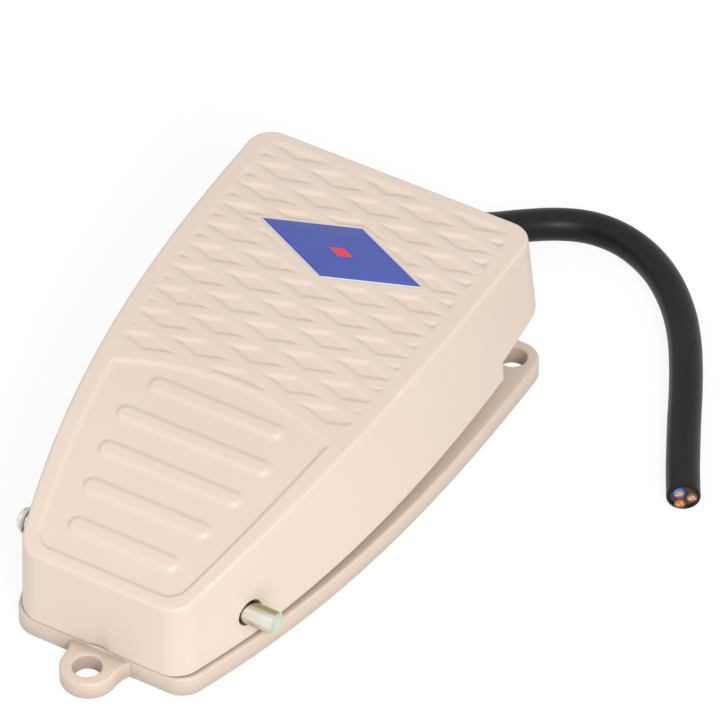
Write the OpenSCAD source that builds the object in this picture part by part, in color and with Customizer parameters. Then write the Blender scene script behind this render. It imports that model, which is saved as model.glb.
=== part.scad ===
// Foot switch: a cast pedal on a cross pin over a cast base, with a snap switch and a cable inside.
// Millimetres. X to the right, Y from the heel to the toe, Z up from the underside of the base.

/* [Pedal] */
// Length of the pedal's top
pedal_l = 150; // [140:1:160]
// Width of the top at the heel
heel_w = 45.8; // [43:0.2:50]
// Width of the top at the toe
toe_w = 81.4; // [78:0.2:88]
// Height of the top at the heel
heel_h = 29.1; // [28:0.1:32]
// Height of the top at the toe
toe_h = 45; // [43.5:0.1:48]
// How early the sides and the top swell towards the toe
swell = 2.75; // [2.4:0.05:3]
// Corner radius at the heel
heel_r = 7; // [5:0.5:9]
// Corner radius at the toe
toe_r = 6.8; // [5:0.2:9]
// Rounding along the top edge
edge_r = 1.4; // [0.8:0.1:2]
// Slope of the walls at the heel, degrees
heel_draft = 1; // [0.5:0.5:2]
// Slope of the walls at the toe, degrees
toe_draft = 6.2; // [5.5:0.1:7]
// Thickness of the walls
skirt_t = 2; // [1.6:0.1:2.2]
// Thickness of the top
top_t = 3.2; // [2.6:0.1:3.8]
// Angle that the pedal swings down, degrees
press_angle = 3.3; // [2.6:0.1:3.4]

/* [Tread] */
// Width of the smooth border at the heel
border_heel_w = 3.3; // [3:0.1:4]
// Width of the smooth border at the toe
border_toe_w = 5.2; // [4.6:0.1:6]
// Depth of the heel panel under its border
panel_d = 0.8; // [0.5:0.1:1]
// Distance from the heel to the crown of the curved lip
lip_y = 66.2; // [62:0.2:70]
// Radius of the curved lip
lip_r = 77.2; // [70:0.2:85]
// Number of heel bars
bar_n = 5; // [3:1:5]
// Width of a heel bar
bar_w = 4.8; // [4:0.1:5.4]
// Distance between heel bars
bar_pitch = 11.3; // [10.8:0.1:11.6]
// Distance from the heel to the first bar
bar_y = 12.3; // [11.6:0.1:13]
// Depth of the tread's diamonds
tread_d = 0.7; // [0.4:0.1:0.9]
// Distance between columns of diamonds
tread_px = 13.2; // [12:0.1:15]
// Distance between diamonds in a column
tread_py = 8.6; // [8:0.1:10]
// Width of the raised ribs between diamonds, along the pedal
tread_rib = 3.1; // [2.6:0.1:3.6]

/* [Name plate] */
// Length of the blank rhombus plate
plate_l = 49; // [44:0.5:52]
// Height of the rhombus plate
plate_h = 20.8; // [18:0.2:22]
// Thickness of the plate
plate_t = 0.3; // [0.2:0.05:0.5]
// Distance from the pedal's middle line to the middle of the plate
plate_x = 1.3; // [-2:0.1:2]
// Distance from the heel to the middle of the plate
plate_y = 117.9; // [114:0.1:120]
// Turn of the plate, degrees
plate_turn = 2.6; // [0:0.1:4]

/* [Base] */
// Length of the base plate
base_l = 149; // [146:0.5:152]
// Width of the base plate at the heel
base_heel_w = 49; // [48.6:0.2:53]
// Width of the base plate at the toe
base_toe_w = 91; // [90:0.2:96]
// Thickness of the base plate
base_t = 5.8; // [5.4:0.1:6.2]
// Thickness of the floor inside the walls
floor_t = 3; // [2.5:0.1:3.5]
// Thickness of the upright walls
wall_t = 3; // [2.4:0.1:3.4]
// Diameter of the screw holes
screw_hole_d = 7.4; // [6.6:0.1:7.8]
// Distance from the plate's heel edge to the heel screw
heel_hole_out = 5.9; // [5.4:0.1:6.4]
// Radius of the heel ear
ear_r = 7.3; // [7:0.1:8]
// Thickness of the heel ear
ear_t = 5; // [4.4:0.1:5.4]
// Distance from the middle to each rear screw
rear_hole_x = 38.5; // [38:0.1:39.5]
// Distance from the toe edge to the rear screws
rear_hole_in = 6.5; // [6:0.1:7]

/* [Pivot] */
// Diameter of the pin
pin_d = 6; // [5.5:0.1:6.4]
// Distance from the heel to the pin
pin_y = 22.1; // [21.6:0.1:22.6]
// Height of the pin
pin_z = 14.4; // [14:0.1:14.8]
// Reach of the pin to the right
pin_right = 38.5; // [36:0.1:40]
// Reach of the pin to the left
pin_left = 36.1; // [34:0.1:38]
// Radial clearance of the pin
pin_fit = 0.05; // [0.02:0.01:0.08]

/* [Switch] */
// Length of the switch body
switch_l = 49.2; // [48:0.1:50]
// Width of the switch body
switch_w = 17.5; // [16.5:0.1:18.5]
// Height of the switch body
switch_h = 19.5; // [19:0.1:20]
// Distance from the heel to the switch body
switch_y = 52; // [51:0.1:53]
// Height of the switch body's underside
switch_z = 7; // [6.8:0.1:7.2]
// Distance from the heel to the plunger
plunger_y = 66; // [65.6:0.1:66.4]
// Diameter of the plunger
plunger_d = 6; // [5:0.1:6.4]
// Height that the plunger stands out of the body
plunger_up = 3.5; // [3.3:0.1:3.8]
// Thickness of the contact strips
strip_t = 0.8; // [0.6:0.1:1]
// Width of the contact strips
strip_w = 6; // [5:0.1:6.4]

/* [Springs] */
// Middle diameter of a return spring
spring_d = 14; // [13:0.5:16]
// Thickness of the spring wire
spring_wire = 1.5; // [1.2:0.1:1.8]
// Turns of a return spring
spring_turns = 9; // [7:1:11]
// Distance from the heel to the return springs
spring_y = 112; // [110:0.5:114]
// Distance from the middle to each return spring
spring_x = 22; // [20:0.5:23]

/* [Cable] */
// Diameter of the cable
cable_d = 8.8; // [8:0.1:9.2]
// Height of the cable where it leaves the base
cable_z = 12.4; // [12.2:0.1:12.8]
// Diameter of an insulated wire
wire_d = 2.6; // [2.2:0.1:2.8]
// Length of the bend relief outside the wall
relief_l = 15; // [14:0.5:15]

/* [Hidden] */
$fn = 48;
// Overrun of every cut
over = 1;
// Gap between still pieces that are fitted together
fit = 0.05;
// Gap kept between pieces that move past each other
run = 0.35;
paint = [0.90, 0.83, 0.78];

// Outlines
arc_n = 5;
side_n = 10;
function share(y) = max(0, min(1, y/pedal_l));
function rise(y) = 1 - pow(1 - share(y), swell);
function half_w(sz, y) = sz[0]/2 + (sz[1] - sz[0])/2*rise(y);
function side_tilt(sz, y) =
  atan((sz[1] - sz[0])/2*swell*pow(1 - share(y), swell - 1)/pedal_l);
function top_z(y) = heel_h + (toe_h - heel_h)*rise(y);
function draft(y) = tan(heel_draft + (toe_draft - heel_draft)*rise(y));
// Right half of an outline: size [heel width, toe width], ends y0 and y1, corner radii r0 and r1.
// Each point is [x, y, angle of the outward normal].
function right_half(sz, y0, y1, r0, r1) =
  let (ya = y0 + r0, a0 = side_tilt(sz, ya), xa = half_w(sz, ya) - r0/cos(a0))
  let (a1 = side_tilt(sz, y1 - r1), xb = half_w(sz, y1 - r1) - r1/cos(a1))
  let (s0 = ya - r0*sin(a0), s1 = y1 - r1 - r1*sin(a1))
  [for (i = [0:arc_n]) let (a = -90 + (90 - a0)*i/arc_n) [xa + r0*cos(a), ya + r0*sin(a), a],
   for (i = [1:side_n - 1]) let (y = s0 + (s1 - s0)*i/side_n)
     [half_w(sz, y), y, -side_tilt(sz, y)],
   for (i = [0:arc_n]) let (a = -a1 + (90 + a1)*i/arc_n) [xb + r1*cos(a), y1 - r1 + r1*sin(a), a]];
function whole(h) = concat(h, [for (i = [len(h) - 1:-1:0]) [-h[i][0], h[i][1], 180 - h[i][2]]]);
module shape(sz, y0, y1, r0, r1) {
  polygon([for (p = whole(right_half(sz, y0, y1, r0, r1))) [p[0], p[1]]]);
}

// Pedal
pedal_sz = [heel_w, toe_w];
pedal_half = right_half(pedal_sz, 0, pedal_l, heel_r, toe_r);
function ring(p, z, inset) =
  [for (q = p) let (d = (top_z(q[1]) - z)*draft(q[1]) - inset)
    [q[0] + d*cos(q[2]), q[1] + d*sin(q[2]), z]];
function ring_under(p, drop, inset) =
  [for (q = p) let (d = drop*draft(q[1]) - inset)
    let (y = q[1] + d*sin(q[2])) [q[0] + d*cos(q[2]), y, top_z(y) - drop]];
// A closed body from a stack of rings, flat below, and closed above by strips from side to side
module stack(rings) {
  n = len(rings[0]);
  m = len(rings);
  polyhedron([for (r = rings) each r], concat(
    [[for (i = [0:n - 1]) i]],
    [for (k = [0:m - 2], i = [0:n - 1]) let (j = (i + 1)%n)
      each [[k*n + i, (k + 1)*n + i, k*n + j], [k*n + j, (k + 1)*n + i, (k + 1)*n + j]]],
    [for (i = [0:n/2 - 2]) let (b = (m - 1)*n)
      each [[b + i, b + n - 1 - i, b + i + 1], [b + i + 1, b + n - 1 - i, b + n - 2 - i]]]));
}
// The space between two heights over or under the top, as wide as the pedal
band_n = 40;
band_end = 8;
module band(low, high) {
  ys = [for (i = [0:band_n]) -band_end + (pedal_l + 2*band_end)*i/band_n];
  rotate([90, 0, 90]) linear_extrude(toe_w, center = true)
    polygon(concat([for (y = ys) [y, top_z(y) + low]],
      [for (i = [band_n:-1:0]) [ys[i], top_z(ys[i]) + high]]));
}
// Heights of the skirt's lower edge over the base plate
heel_gap = 0.4;
mid_gap = 2.6;
ear_gap = 6.8;
step_gap = 12.1;
toe_gap = 15.9;
mid_share = 0.4;
ear_share = 0.85;
module under_skirt() {
  ear_y = ear_share*pedal_l;
  rotate([90, 0, 90]) linear_extrude(base_toe_w + toe_w, center = true)
    polygon([[-pedal_l, -pedal_l], [-pedal_l, base_t + heel_gap], [pin_y, base_t + heel_gap],
      [mid_share*pedal_l, base_t + mid_gap], [ear_y, base_t + ear_gap],
      [ear_y, base_t + step_gap], [pedal_l, base_t + toe_gap],
      [2*pedal_l, base_t + toe_gap], [2*pedal_l, -pedal_l]]);
}
// Screwdriver scoop over the heel ear
scoop_r = 6.8;
scoop_top_r = 5.8;
scoop_h = 13.5;
module scoop(grow) {
  translate([0, -heel_hole_out, base_t]) cylinder(scoop_h, scoop_r + grow, scoop_top_r + grow);
}
// Arch in the toe wall for the cable
relief_wall = 1.9;
relief_r = cable_d/2 + relief_wall;
arch_w = 18;
arch_z = cable_z + relief_r + (pedal_l - pin_y)*tan(press_angle) + 2*run;
// Bosses of the pivot
boss_d = 13;
boss_in = 25;
eye_d = 7.4;
eye_depth = 2.8;
function pedal_side(y, z) = half_w(pedal_sz, y) + (top_z(y) - z)*draft(y);
pivot_side = pedal_side(pin_y, pin_z);
module along_x(y, z) {
  translate([0, y, z]) rotate([0, 90, 0]) children();
}
panel_heel_r = 4.6;
module panel_shape() {
  shape([heel_w - 2*border_heel_w, toe_w - 2*border_toe_w], 0.9*border_heel_w,
    pedal_l - 0.7*border_toe_w, panel_heel_r, toe_r/2);
}
bar_half_shares = [0.33, 0.385, 0.435, 0.47, 0.41];
module heel_bars() {
  for (i = [0:bar_n - 1]) {
    h = bar_half_shares[i]*heel_w - bar_w/2 + bar_w*0.08;
    translate([0, bar_y + i*bar_pitch]) {
      square([2*h, bar_w], center = true);
      for (s = [-1, 1]) translate([s*h, 0]) circle(d = bar_w, $fn = 24);
    }
  }
}
pad_grow_share = 1.12;
module rhombus(l, h) {
  rotate(-plate_turn) polygon([[-l/2, 0], [0, -h/2], [l/2, 0], [0, h/2]]);
}
diamond_rows = 12;
diamond_first = -2;
diamond_cols = 3;
tread_y = 76.5;
lip_flat = 1.2;
module diamonds() {
  k = (tread_py - tread_rib)/tread_py;
  difference() {
    intersection() {
      panel_shape();
      for (c = [-diamond_cols:diamond_cols], r = [diamond_first:diamond_first + diamond_rows - 1]) {
        y = tread_y + (r + abs(c % 2)/2)*tread_py;
        translate([c*tread_px, y])
          polygon([[-k*tread_px, 0], [0, -k*tread_py/2], [k*tread_px, 0], [0, k*tread_py/2]]);
      }
    }
    translate([0, lip_y - lip_r]) circle(lip_r + lip_flat, $fn = 120);
    translate([plate_x, plate_y]) rhombus(plate_l*pad_grow_share, plate_h*pad_grow_share);
  }
}
module pedal_shell() {
  color(paint) difference() {
    union() {
      difference() {
        stack([ring(whole(pedal_half), 0, 0), ring_under(whole(pedal_half), edge_r, 0),
          ring_under(whole(pedal_half), edge_r*(1 - sin(45)), edge_r*(1 - cos(45))),
          ring_under(whole(pedal_half), 0, edge_r)]);
        translate([0, 0, -over])
          stack([ring(whole(pedal_half), 0, skirt_t), ring_under(whole(pedal_half), top_t - over, skirt_t)]);
      }
      intersection() {
        scoop(skirt_t);
        stack([ring(whole(pedal_half), 0, skirt_t/2), ring_under(whole(pedal_half), top_t/2, skirt_t/2)]);
      }
      for (s = [-1, 1]) scale([s, 1, 1]) translate([boss_in, 0, 0]) along_x(pin_y, pin_z)
        cylinder(pivot_side - boss_in - skirt_t/2, d = boss_d);
      translate([0, plunger_y, actuator_boss_z])
        cylinder(top_z(plunger_y) - top_t/2 - actuator_boss_z, d = actuator_boss_d);
      for (s = [-1, 1]) translate([s*spring_x, spring_y, spring_top - spigot_h])
        cylinder(spigot_h + top_t/2, d = spigot_d);
    }
    under_skirt();
    scoop(0);
    along_x(pin_y, pin_z) cylinder(2*toe_w, d = pin_d + 2*pin_fit, center = true);
    for (s = [-1, 1]) scale([s, 1, 1]) translate([pivot_side - eye_depth, 0, 0])
      along_x(pin_y, pin_z) cylinder(toe_w, d = eye_d);
    translate([-arch_w/2, pedal_l/2, 0]) cube([arch_w, pedal_l, arch_z]);
    translate([0, plunger_y, actuator_boss_z - over])
        cylinder(actuator_in + over + fit, d = actuator_d + 2*fit);
    intersection() {
      band(-panel_d, toe_h);
      linear_extrude(2*toe_h) difference() {
        intersection() {
          panel_shape();
          translate([0, lip_y - lip_r]) circle(lip_r, $fn = 120);
        }
        heel_bars();
      }
    }
    intersection() {
      band(-tread_d, toe_h);
      linear_extrude(2*toe_h) diamonds();
    }
  }
}
module name_plate() {
  color([0.26, 0.33, 0.66]) intersection() {
    band(fit, fit + plate_t);
    translate([plate_x, plate_y, 0]) linear_extrude(2*toe_h) rhombus(plate_l, plate_h);
  }
}

// Base
wall_y = 6.5;
wall_end = 142;
low_wall_h = 9.5;
high_wall_h = 17;
low_heel_in = 2.1;
low_toe_out = 0.5;
high_heel_in = 2.3;
high_toe_in = 0.1;
notch_x = 31;
notch_y = 128;
wall_r0 = 4;
wall_r1 = 3;
low_sz = [heel_w - 2*low_heel_in, toe_w + 2*low_toe_out];
high_sz = [heel_w - 2*high_heel_in, toe_w - 2*high_toe_in];
ear_flare = 2.2;
ear_set = 0.7;
ear_out = heel_hole_out - ear_set;
lug_in = 17.6;
lug_out = boss_in - 0.4;
lug_d = 14;
module wall_area(sz, inset) {
  difference() {
    shape([sz[0] - 2*inset, sz[1] - 2*inset], wall_y + inset, wall_end - inset, wall_r0, wall_r1);
    for (s = [-1, 1]) translate([s*(notch_x - inset + toe_w/2), notch_y - inset + toe_w/2])
      square(toe_w, center = true);
  }
}
module heel_ear() {
  translate([0, -ear_out]) circle(ear_r);
  polygon([[-ear_r - ear_flare, over], [-ear_r, -ear_out], [ear_r, -ear_out],
    [ear_r + ear_flare, over]]);
}
module at_screw_holes() {
  translate([0, -heel_hole_out]) children();
  for (s = [-1, 1]) translate([s*rear_hole_x, base_l - rear_hole_in]) children();
}
spigot_d = 10;
spigot_h = 4;
saddle_y = 131;
saddle_w = 8;
saddle_post_x = 10.5;
saddle_post_d = 7;
saddle_z = 10;
saddle_t = 1.5;
saddle_screw_d = 3.5;
buffer_x = 24;
buffer_y = 135;
buffer_d = 9;
buffer_h = 6.2;
buffer_top = top_z(buffer_y) - top_t - (buffer_y - pin_y)*tan(press_angle) - 2*run;
buffer_post_z = buffer_top - buffer_h;
buffer_stem_d = 4;
buffer_stem_l = 5;
bracket_screw_x = 15;
bracket_screw_in = 4.4;
bracket_screw_ys = [switch_y + bracket_screw_in, switch_y + switch_l - bracket_screw_in];
bracket_screw_d = 4;
bracket_z = 4.5;
bracket_boss_d = 9;
grub_d = 4;
module base_casting() {
  color(paint) difference() {
    union() {
      difference() {
        union() {
          linear_extrude(base_t) shape([base_heel_w, base_toe_w], 0, base_l, heel_r, rear_hole_in);
          linear_extrude(low_wall_h) wall_area(low_sz, 0);
          linear_extrude(high_wall_h) wall_area(high_sz, 0);
        }
        translate([0, 0, floor_t]) linear_extrude(high_wall_h) wall_area(high_sz, wall_t);
        for (s = [-1, 1]) translate([s*(lug_out + toe_w/2), pin_y, base_t + toe_w/2])
          cube([toe_w, boss_d + 2*over, toe_w], center = true);
      }
      for (s = [-1, 1]) scale([s, 1, 1]) {
        translate([lug_in, pin_y - lug_d/2, floor_t/2]) cube([lug_out - lug_in, lug_d, pin_z - floor_t/2]);
        translate([lug_in, 0, 0]) along_x(pin_y, pin_z) cylinder(lug_out - lug_in, d = lug_d);
      }
      for (s = [-1, 1]) {
        translate([s*spring_x, spring_y, floor_t/2]) cylinder(spigot_h + floor_t/2, d = spigot_d);
        translate([s*saddle_post_x, saddle_y, floor_t/2])
          cylinder(saddle_z - floor_t/2, d = saddle_post_d);
        translate([s*buffer_x, buffer_y, floor_t/2])
          cylinder(buffer_post_z - floor_t/2, d = buffer_d);
      }
      translate([-saddle_post_x, saddle_y - saddle_w/2, floor_t/2])
        cube([2*saddle_post_x, saddle_w, saddle_z - floor_t/2]);
      for (y = bracket_screw_ys) translate([bracket_screw_x, y, floor_t/2])
        cylinder(bracket_z - floor_t/2, d = bracket_boss_d);
    }
    translate([0, 0, -over]) at_screw_holes_cut();
    along_x(pin_y, pin_z) cylinder(2*toe_w, d = pin_d + 2*pin_fit, center = true);
    for (s = [-1, 1]) translate([s*(lug_in + lug_out)/2, pin_y, pin_z]) cylinder(lug_d, d = grub_d + 2*fit);
    along_y(wall_end - wall_t - over, cable_z) cylinder(wall_t + 2*over, d = neck_d);
    along_y(saddle_y - saddle_w, cable_z) cylinder(2*saddle_w, d = cable_d + 2*fit);
    for (s = [-1, 1]) {
      translate([s*saddle_post_x, saddle_y, floor_t]) cylinder(saddle_z, d = saddle_screw_d + 2*fit);
      translate([s*buffer_x, buffer_y, buffer_post_z - buffer_stem_l - fit])
        cylinder(buffer_post_z, d = buffer_stem_d + 2*fit);
    }
    for (y = bracket_screw_ys) translate([bracket_screw_x, y, over])
      cylinder(bracket_z, d = bracket_screw_d + 2*fit);
  }
}
module at_screw_holes_cut() {
  at_screw_holes() cylinder(high_wall_h, d = screw_hole_d);
}
// The ear of the same casting, as a node that meets the plate's heel edge face to face
module base_ear() {
  color(paint) difference() {
    linear_extrude(ear_t) intersection() {
      heel_ear();
      translate([0, -toe_w/2]) square(toe_w, center = true);
    }
    translate([0, 0, -over]) at_screw_holes_cut();
  }
}

// Pivot
pin_chamfer = 0.8;
module pivot_pin() {
  color("silver") translate([-pin_left, 0, 0]) along_x(pin_y, pin_z) difference() {
    union() {
      cylinder(pin_chamfer, d1 = pin_d - 2*pin_chamfer, d2 = pin_d);
      translate([0, 0, pin_chamfer]) cylinder(pin_left + pin_right - 2*pin_chamfer, d = pin_d);
      translate([0, 0, pin_left + pin_right - pin_chamfer])
        cylinder(pin_chamfer, d1 = pin_d, d2 = pin_d - 2*pin_chamfer);
    }
    for (s = [-1, 1]) translate([-pin_d/2, 0, pin_left + s*(lug_in + lug_out)/2])
      cube([2*grub_bite + fit, pin_d, grub_d + over], center = true);
    translate([0, 0, ring_in - fit]) difference() {
      cylinder(ring_t + 2*fit, d = pin_d + over);
      cylinder(ring_t + 2*fit, d = pin_d - 2*ring_bite);
    }
  }
}
// Retaining ring in a groove near the pin's left end
ring_in = 1.6;
ring_t = 0.8;
ring_bite = 0.7;
ring_d = 7.4;
module pin_ring() {
  color("silver") translate([ring_in - pin_left, 0, 0]) along_x(pin_y, pin_z) difference() {
    cylinder(ring_t, d = ring_d);
    translate([0, 0, -over]) cylinder(ring_t + 2*over, d = pin_d - 2*ring_bite + 2*fit);
    translate([ring_d/2, 0, ring_t/2])
      cube([ring_d, pin_d - 3*ring_bite, ring_t + 2*over], center = true);
  }
}
grub_bite = 0.5;
grub_l = 4.5;
socket_d = 2;
module pin_grub_screws() {
  color("dimgray") for (s = [-1, 1])
    translate([s*(lug_in + lug_out)/2, pin_y, pin_z + pin_d/2 - grub_bite]) difference() {
      cylinder(grub_l, d = grub_d);
      translate([0, 0, grub_l/2]) cylinder(grub_l, d = socket_d, $fn = 6);
    }
}

// Actuator of the pedal
actuator_d = 5;
actuator_boss_d = 12;
actuator_boss_z = 34.4;
nut_af = 8;
nut_h = 3.6;
plunger_top = switch_z + switch_h + plunger_up;
actuator_tip = plunger_top + run;
actuator_out = actuator_boss_z - actuator_tip;
actuator_in = 5.2;
actuator_l = actuator_out + actuator_in;
module hexagon(af, h) {
  cylinder(h, d = af/cos(30), $fn = 6);
}
module actuator_screw() {
  color("silver") translate([0, plunger_y, actuator_tip]) difference() {
    union() {
      cylinder(pin_chamfer, d1 = actuator_d - 2*pin_chamfer, d2 = actuator_d);
      translate([0, 0, pin_chamfer]) cylinder(actuator_l - pin_chamfer, d = actuator_d);
    }
    translate([0, 0, -over]) hexagon(socket_d, over + socket_d);
  }
}
module actuator_nut() {
  color("silver") translate([0, plunger_y, actuator_boss_z - nut_h - fit]) difference() {
    hexagon(nut_af, nut_h);
    translate([0, 0, -over]) cylinder(nut_h + 2*over, d = actuator_d + 2*fit);
  }
}

// A tube of n sides along points, each ring square to the run
function dir(a) = a/norm(a);
function run_at(p, i) = dir(p[min(i + 1, len(p) - 1)] - p[max(i - 1, 0)]);
function across(t) = dir(cross(t, abs(t[2]) < 0.8 ? [0, 0, 1] : [0, 1, 0]));
module tube(p, d, n) {
  m = len(p);
  polyhedron([for (i = [0:m - 1]) let (t = run_at(p, i), u = across(t), v = cross(t, u))
      for (k = [0:n - 1]) p[i] + d/2*(u*cos(360*k/n) + v*sin(360*k/n))],
    concat([[for (k = [0:n - 1]) k]], [[for (k = [n - 1:-1:0]) (m - 1)*n + k]],
      [for (i = [0:m - 2], k = [0:n - 1]) let (a = i*n + k, b = i*n + (k + 1)%n)
        each [[a, a + n, b], [b, a + n, b + n]]]));
}

// Return springs: one helix each, with a slower climb in the first and last turn
spring_bottom = floor_t + fit;
spring_top = top_z(spring_y) - top_t;
coil_steps = 12;
coil_sides = 6;
function coil_climb(t, n) = let (e = 0.55) t < 1 ? e*t :
  t > n - 1 ? n - 2 + 2*e - e*(n - t) : e + (t - 1);
function coil(d, wire, turns, low, high) =
  let (climb = (high - low - wire)/coil_climb(turns, turns))
  [for (i = [0:turns*coil_steps]) let (t = i/coil_steps, a = 360*t)
    [d/2*cos(a), d/2*sin(a), low + wire/2 + climb*coil_climb(t, turns)]];
function least_gap(p, wire) = min([for (i = [0:len(p) - 1], j = [i + coil_steps/2:len(p) - 1])
  norm(p[i] - p[j])]) - wire;
module return_springs() {
  path = coil(spring_d, spring_wire, spring_turns, spring_bottom, spring_top - fit);
  echo(least_gap_of_return_spring = least_gap(path, spring_wire));
  color("gainsboro") for (s = [-1, 1]) translate([s*spring_x, spring_y, 0])
    tube(path, spring_wire, coil_sides);
}

// Rubber buffers that stop the pedal
module stop_buffers() {
  color("dimgray") for (s = [-1, 1]) translate([s*buffer_x, buffer_y, buffer_post_z + fit]) {
    translate([0, 0, -buffer_stem_l]) cylinder(buffer_stem_l + over, d = buffer_stem_d);
    cylinder(buffer_top - buffer_post_z - fit - over, d = buffer_d);
    translate([0, 0, buffer_top - buffer_post_z - fit - over])
      cylinder(over, d1 = buffer_d, d2 = buffer_d - 2*over);
  }
}

// Switch
cover_t = 1.5;
case_t = 2.5;
block_h = 5;
switch_x0 = -switch_w/2 + cover_t;
cavity_z = switch_z + block_h;
case_top = switch_z + switch_h;
case_end = switch_y + switch_l;
mount_spacing = 25.4;
mount_y = switch_y + (switch_l - mount_spacing)/2;
mount_z = switch_z + block_h/2;
mount_d = 3;
blade_z = 19;
blade_pivot_y = 95;
contact_y = 59.2;
contact_d = 3.2;
contact_h = 0.8;
blade_arm_share = (contact_y - blade_pivot_y)/(plunger_y - blade_pivot_y);
plunger_gain = 1.05;
plunger_travel = plunger_gain*(plunger_y - pin_y)*tan(press_angle);
contact_travel = plunger_travel*blade_arm_share;
contact_tilt = contact_d/2*contact_travel/(blade_pivot_y - contact_y);
closed_z = blade_z + strip_t/2 + contact_h + run + contact_h;
open_z = cavity_z;
common_drop = 4.6;
common_z = blade_z - common_drop;
tag_l = 9;
module at_mounts() {
  for (i = [0, 1]) along_x(mount_y + i*mount_spacing, mount_z) children();
}
module strip_slot(y, z, l) {
  translate([-strip_w/2 - fit, y, z - fit]) cube([strip_w + 2*fit, l, strip_t + 2*fit]);
}
module switch_body() {
  color([0.16, 0.14, 0.13]) difference() {
    translate([switch_x0, switch_y, switch_z]) cube([switch_w - cover_t, switch_l, switch_h]);
    translate([switch_x0 - over, switch_y + case_t, cavity_z])
      cube([switch_w - cover_t - case_t + over, switch_l - 2*case_t, switch_h - block_h - case_t]);
    translate([0, plunger_y, case_top - case_t - over]) cylinder(case_t + 2*over, d = plunger_d + 4*pin_fit);
    at_mounts() cylinder(2*switch_w, d = mount_d + 4*fit, center = true);
    strip_slot(switch_y - over, closed_z, case_t + 2*over);
    strip_slot(switch_y - over, open_z + fit, case_t + 2*over);
    strip_slot(case_end - case_t - over, common_z, case_t + 2*over);
  }
}
module switch_cover() {
  color([0.45, 0.22, 0.14]) difference() {
    translate([-switch_w/2, switch_y, switch_z]) cube([cover_t - fit, switch_l, switch_h]);
    at_mounts() cylinder(2*switch_w, d = mount_d + 4*fit, center = true);
  }
}
plunger_nose = blade_z + strip_t/2 + run;
collar_h = 1.5;
module plunger() {
  collar_z = case_top - case_t - fit - collar_h;
  color([0.75, 0.1, 0.08]) translate([0, plunger_y, 0]) {
    translate([0, 0, plunger_nose]) cylinder(collar_z - plunger_nose, d = plunger_d/2);
    translate([0, 0, collar_z]) cylinder(collar_h, d = plunger_d + collar_h);
    translate([0, 0, collar_z]) cylinder(plunger_top - collar_z - collar_h, d = plunger_d);
    translate([0, 0, plunger_top - collar_h])
      cylinder(collar_h, d1 = plunger_d, d2 = plunger_d - collar_h);
  }
}
knuckle_d = 3.6;
knuckle_pin_d = 1.6;
cheek_t = 1.2;
module contact_blade() {
  color("goldenrod") difference() {
    union() {
      translate([-strip_w/2, contact_y - contact_d/2, blade_z - strip_t/2])
        cube([strip_w, blade_pivot_y - contact_y + contact_d/2, strip_t]);
      translate([0, contact_y, blade_z - strip_t/2 - contact_h])
        cylinder(strip_t + 2*contact_h, d = contact_d);
      translate([-strip_w/2, 0, 0]) along_x(blade_pivot_y, blade_z) cylinder(strip_w, d = knuckle_d);
    }
    along_x(blade_pivot_y, blade_z) cylinder(2*strip_w, d = knuckle_pin_d + 2*pin_fit, center = true);
  }
}
module common_terminal() {
  cheek_x = strip_w/2 + run;
  color("goldenrod") {
    difference() {
      translate([-strip_w/2, blade_pivot_y - knuckle_d, common_z])
        cube([strip_w, case_end + tag_l - blade_pivot_y + knuckle_d, strip_t]);
      tag_hole(case_end + tag_l/2, common_z);
    }
    for (s = [-1, 1]) scale([s, 1, 1]) {
      translate([strip_w/2 - fit, blade_pivot_y - knuckle_d/2, common_z])
        cube([run + cheek_t + fit, knuckle_d, strip_t]);
      translate([cheek_x, blade_pivot_y - knuckle_d/2, common_z])
        cube([cheek_t, knuckle_d, blade_z + knuckle_d/2 - common_z]);
    }
    translate([-cheek_x - cheek_t/2, 0, 0]) along_x(blade_pivot_y, blade_z)
      cylinder(2*cheek_x + cheek_t, d = knuckle_pin_d);
  }
}
tag_d = 3;
module tag_hole(y, z) {
  translate([0, y, z - over]) cylinder(strip_t + 2*over, d = tag_d + 2*fit);
}
module closed_terminal() {
  color("goldenrod") {
    difference() {
      translate([-strip_w/2, switch_y - tag_l, closed_z])
        cube([strip_w, contact_y + contact_d/2 - switch_y + tag_l, strip_t]);
      tag_hole(switch_y - tag_l/2, closed_z);
    }
    translate([0, contact_y, closed_z - contact_h]) cylinder(contact_h, d = contact_d);
  }
}
module open_terminal() {
  top = blade_z - strip_t/2 - contact_h - contact_travel - contact_tilt - run;
  color("goldenrod") {
    difference() {
      translate([-strip_w/2, switch_y - tag_l, open_z + fit])
        cube([strip_w, contact_y + contact_d/2 - switch_y + tag_l, strip_t]);
      tag_hole(switch_y - tag_l/2, open_z + fit);
    }
    translate([0, contact_y, open_z + fit + strip_t]) cylinder(top - open_z - fit - strip_t, d = contact_d);
  }
}
screw_head_k = 1.9;
screw_head_h_k = 0.6;
module pan_screw(d, l) {
  difference() {
    union() {
      cylinder(screw_head_h_k*d, d1 = screw_head_k*d, d2 = screw_head_k*d*0.9);
      translate([0, 0, -l]) cylinder(l, d = d);
    }
    translate([0, 0, screw_head_h_k*d]) cube([2*d, d/4, d/2], center = true);
  }
}
tag_screw_l = 4;
module terminal_screws() {
  color("silver") {
    translate([0, case_end + tag_l/2, common_z + strip_t + fit]) pan_screw(tag_d, tag_screw_l);
    for (z = [closed_z, open_z + fit]) translate([0, switch_y - tag_l/2, z + strip_t + fit])
      pan_screw(tag_d, tag_screw_l);
  }
}
contact_spring_y = 74;
contact_spring_d = 4.4;
contact_spring_wire = 0.6;
contact_spring_turns = 4;
module contact_spring() {
  path = coil(contact_spring_d, contact_spring_wire, contact_spring_turns,
    cavity_z + fit, blade_z - strip_t/2 - fit);
  echo(least_gap_of_contact_spring = least_gap(path, contact_spring_wire));
  color("gainsboro") translate([0, contact_spring_y, 0]) tube(path, contact_spring_wire, coil_sides);
}

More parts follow.
